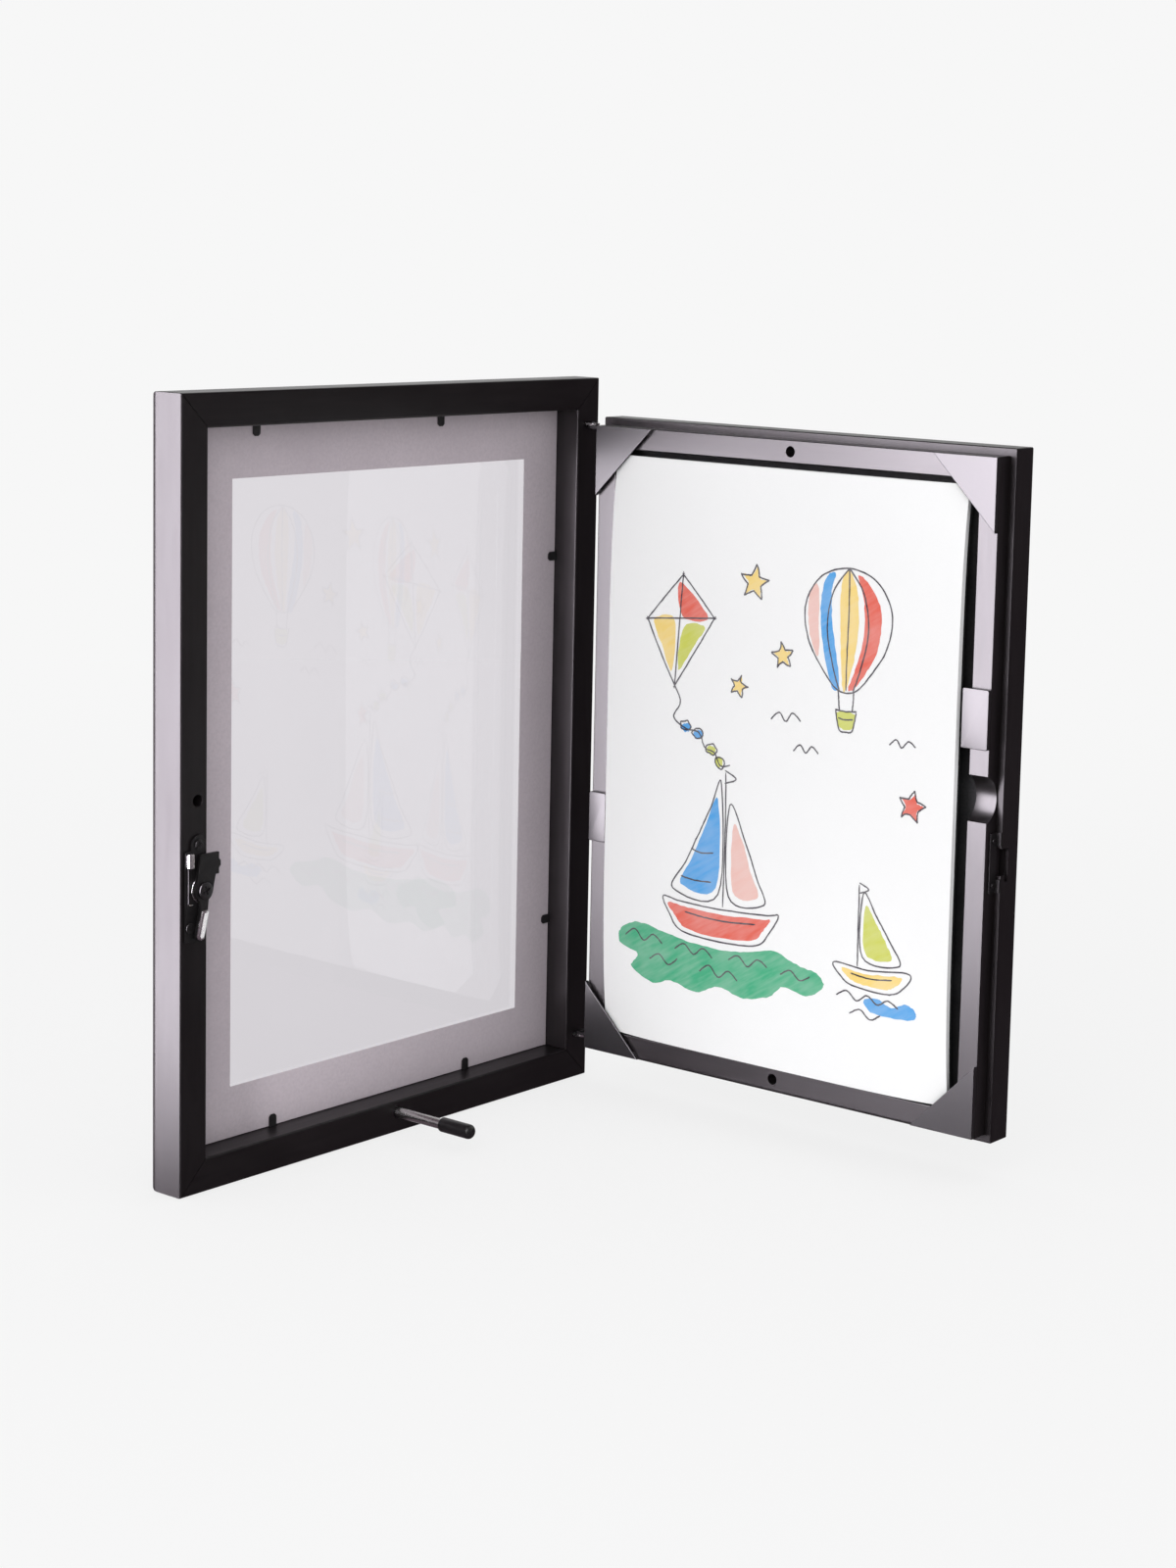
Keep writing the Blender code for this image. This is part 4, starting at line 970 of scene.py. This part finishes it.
def felt_ink(name, colour):
    """Felt-pen ink on paper: streaks of the pen, and paper showing through."""
    material, nodes, links, shader = bare_material(name)
    shader.inputs["Specular IOR Level"].default_value = 0.0
    place = nodes.new("ShaderNodeTexCoord")
    slant = nodes.new("ShaderNodeMapping")
    slant.vector_type = "TEXTURE"
    slant.inputs["Rotation"].default_value = (pen_slant, 0, 0)
    slant.inputs["Scale"].default_value = (1, pen_stretch, 1)
    links.new(place.outputs["Object"], slant.inputs["Vector"])
    streaks = noise(nodes, links, slant.outputs["Vector"], scale=480, detail=3)
    pools = noise(nodes, links, place.outputs["Object"], scale=70, detail=2)
    both = joined(nodes, links, "MULTIPLY", streaks, pools)
    strength = in_range(nodes, links, both, given=(ink_least, ink_most))
    pale = tuple(ink_cover * part + (1 - ink_cover) * paper_white for part in colour)
    ink = blended(nodes, links, strength, (*pale, 1), (*colour, 1))
    links.new(ink, shader.inputs["Base Color"])
    dryness = in_range(nodes, links, both, wanted=(0.85, 0.65))
    links.new(dryness, shader.inputs["Roughness"])
    fibres = relief(nodes, links, streaks, strength=0.3, distance=fibre_relief)
    links.new(fibres, shader.inputs["Normal"])
    return material


def add_spline(curve, line):
    """A spline of a curve, through the points of a hand-drawn line."""
    spline = curve.splines.new("POLY")
    spline.points.add(len(line) - 1)
    for point, place in zip(spline.points, line):
        point.co = (*place, 0, 1)
    return spline


for name, (colour, outlines) in colour_patches.items():
    curve = bpy.data.curves.new(name + "_patches", "CURVE")
    curve.dimensions = "2D"
    curve.fill_mode = "BOTH"
    for outline in outlines:
        line = smooth_line(outline, closed=True, steps=patch_steps, shake=patch_shake)
        add_spline(curve, line).use_cyclic_u = True
    patches = bpy.data.objects.new(name + "_patches", curve)
    bpy.context.scene.collection.objects.link(patches)
    work_on(patches)
    bpy.ops.object.convert(target="MESH")
    cells = bmesh.new()
    cells.from_mesh(patches.data)
    bmesh.ops.remove_doubles(cells, verts=cells.verts[:], dist=patch_weld)
    for side, reach in ((Vector((1, 0, 0)), patch_reach_across), (Vector((0, 1, 0)), patch_reach_up)):
        for distance in range(-reach, reach + 1, patch_cell):
            everything = cells.verts[:] + cells.edges[:] + cells.faces[:]
            bmesh.ops.bisect_plane(cells, geom=everything, plane_co=side * distance, plane_no=side)
    for face in cells.faces:
        if face.normal.z < 0:
            face.normal_flip()
    cells.to_mesh(patches.data)
    cells.free()
    for vertex in patches.data.vertices:
        vertex.co = on_sheet(vertex.co.x * millimetre, vertex.co.y * millimetre, patch_lift)
    layer = patches.modifiers.new("ink_layer", "SOLIDIFY")
    layer.thickness = patch_thickness
    layer.offset = -1
    bpy.ops.object.modifier_apply(modifier=layer.name)
    patches.data.materials.clear()
    patches.data.materials.append(felt_ink(name, colour))
    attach(patches, "storage_panel")

# Outlines of the drawing. Thin dark grey fibre-pen lines, drawn quickly and
# a little past their corners, over the colours.
line_width = 0.72
line_lift = 0.00016
line_flatness = 0.12
line_steps = 8
line_shake = 0.05
line_thinnest = 0.86
line_spread = 0.3
line_end = 0.55
line_overlap = 3
corner_overrun = 0.03
middle_stray = 0.35
line_soft_angle = math.radians(50)
pen_grey = (0.066, 0.058, 0.075)
kite_corners = [(-58, 92), (-38, 72), (-62, 36), (-80, 68)]
pen_lines = [
    ([(-31, -10), (-31.5, -66), (-60, -67), (-52, -52), (-44, -36), (-37, -22)], True),
    ([(-25.5, -20), (-25, -66), (-3, -67), (-8, -54), (-15, -38)], True),
    ([
        (-66, -72), (-55, -73), (-30, -73.5), (-2, -72), (6, -71), (1, -80), (-7, -88), (-30, -90),
        (-54, -88), (-62, -80),
    ], True),
    ([(-28.5, -4), (-28, -30), (-28.4, -72)], False), ([(-29, -3), (-22, -6.5), (-29, -9.5)], False),
    ([(-52, -78), (-40, -79), (-24, -79), (-8, -77.5)], False),
    ([(-55, -60), (-46, -61), (-36, -60.5)], False), ([(-49, -45), (-43, -46.5), (-35, -45.5)], False),
    ([(56, -52), (56.5, -83), (78, -84), (72, -73), (64, -62)], True),
    ([(40, -88), (60, -89), (84, -87), (79, -96), (70, -99), (52, -98), (45, -95)], True),
    ([(53.5, -48), (53.6, -70), (53.8, -88)], False), ([(53.6, -47), (59, -49.5), (53.8, -52)], False),
    ([(50, -92), (62, -93), (74, -91.5)], False),
    ([
        (42, 104), (58, 99), (67, 85), (65, 68), (56, 54), (47, 45), (37, 45), (28, 54), (19, 68), (17, 85),
        (26, 99),
    ], True),
    ([(42, 104), (33, 92), (30, 74), (34, 56), (38, 45)], False),
    ([(42, 104), (51, 92), (54, 74), (50, 56), (46, 45)], False),
    ([(42, 104), (42.4, 84), (42, 62), (42, 45)], False),
    ([(37.5, 45), (38, 40), (38.5, 35)], False), ([(46.6, 45), (46.4, 40), (46, 35)], False),
    ([(36, 35.4), (42, 35), (48.6, 35.6)], False), ([(38, 31.5), (42, 31), (46.6, 31.6)], False),
    ([(36.4, 35.2), (37.4, 30), (39, 25.5), (42.5, 25), (46, 25.6), (47.4, 30), (48.3, 35)], False),
    ([
        (-62, 36), (-58, 28), (-62, 20), (-54, 15), (-46, 14), (-42, 7), (-36, 5), (-32, -1), (-26, 0),
    ], False),
    (ring_points((-46.5, 13.4), (3.6, 2.5)), True), (ring_points((-54.4, 16.4), (3.2, 2.4)), True),
    (ring_points((-38, 6.6), (3.4, 2.6)), True), (ring_points((-32.4, 0.6), (3.0, 3.0)), True),
    ([(-90, -96), (-84, -92), (-78, -97), (-72, -93), (-66, -97)], False),
    ([(-58, -98), (-52, -94.5), (-46, -99), (-40, -95), (-34, -99)], False),
    ([(-24, -98), (-18, -95), (-12, -99.5), (-6, -95), (0, -98)], False),
    ([(-74, -106), (-68, -102.5), (-62, -107), (-56, -103)], False),
    ([(-42, -107), (-36, -103), (-30, -108), (-24, -104), (-18, -108)], False),
    ([(8, -100), (14, -97), (20, -101), (26, -98)], False),
    ([(42, -104), (48, -101), (54, -105), (60, -101.5), (66, -105), (72, -102), (78, -105)], False),
    ([(50, -112), (56, -109), (62, -113), (68, -110)], False),
    ([(-2, 26), (3, 30), (7, 26), (11, 30.5), (16, 27)], False),
    ([(12, 12), (16, 15.5), (19.5, 12), (23, 15.5), (27, 12.5)], False),
    ([(68, 22), (72, 25), (75, 21.5), (79, 25), (83, 22.5)], False),
]
straight_lines = [
    kite_corners + kite_corners[:1], [kite_corners[0], kite_corners[2]], [kite_corners[3], kite_corners[1]],
]
for star in (
    star_points((-14, 92), 9, turn=84), star_points((4, 58), 6.8, turn=100),
    star_points((-22, 40), 5.8, turn=74), star_points((82, -6), 8, turn=80, inner=0.5),
):
    straight_lines.append(star + star[:1])
for corners in straight_lines:
    for start, end in zip(corners, corners[1:]):
        start, end = np.array(start, dtype=float), np.array(end, dtype=float)
        over = (end - start) * corner_overrun
        middle = (start + end) / 2 + hand.normal(0, middle_stray, 2)
        pen_lines.append(([start - over, middle, end + over], False))
curve = bpy.data.curves.new("pen_lines", "CURVE")
curve.dimensions = "3D"
curve.bevel_depth = line_width / 2
curve.bevel_resolution = 1
curve.use_fill_caps = True
for points, closed in pen_lines:
    line = smooth_line(points, closed, steps=line_steps, shake=line_shake)
    if closed:
        line += line[:line_overlap]
    for index, point in enumerate(add_spline(curve, line).points):
        on_way = 0 < index < len(line) - 1
        point.radius = line_thinnest + line_spread * hand.random() if on_way else line_end
pens = bpy.data.objects.new("pen_lines", curve)
bpy.context.scene.collection.objects.link(pens)
work_on(pens)
bpy.ops.object.convert(target="MESH")
for vertex in pens.data.vertices:
    lift = line_lift + vertex.co.z * millimetre * line_flatness
    vertex.co = on_sheet(vertex.co.x * millimetre, vertex.co.y * millimetre, lift)
bpy.ops.object.mode_set(mode="EDIT")
bpy.ops.mesh.select_all(action="SELECT")
bpy.ops.mesh.normals_make_consistent(inside=False)
bpy.ops.object.mode_set(mode="OBJECT")
bpy.ops.object.shade_smooth_by_angle(angle=line_soft_angle)
pens.data.materials.clear()
pens.data.materials.append(felt_ink("fibre_pen_grey", pen_grey))
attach(pens, "storage_panel")
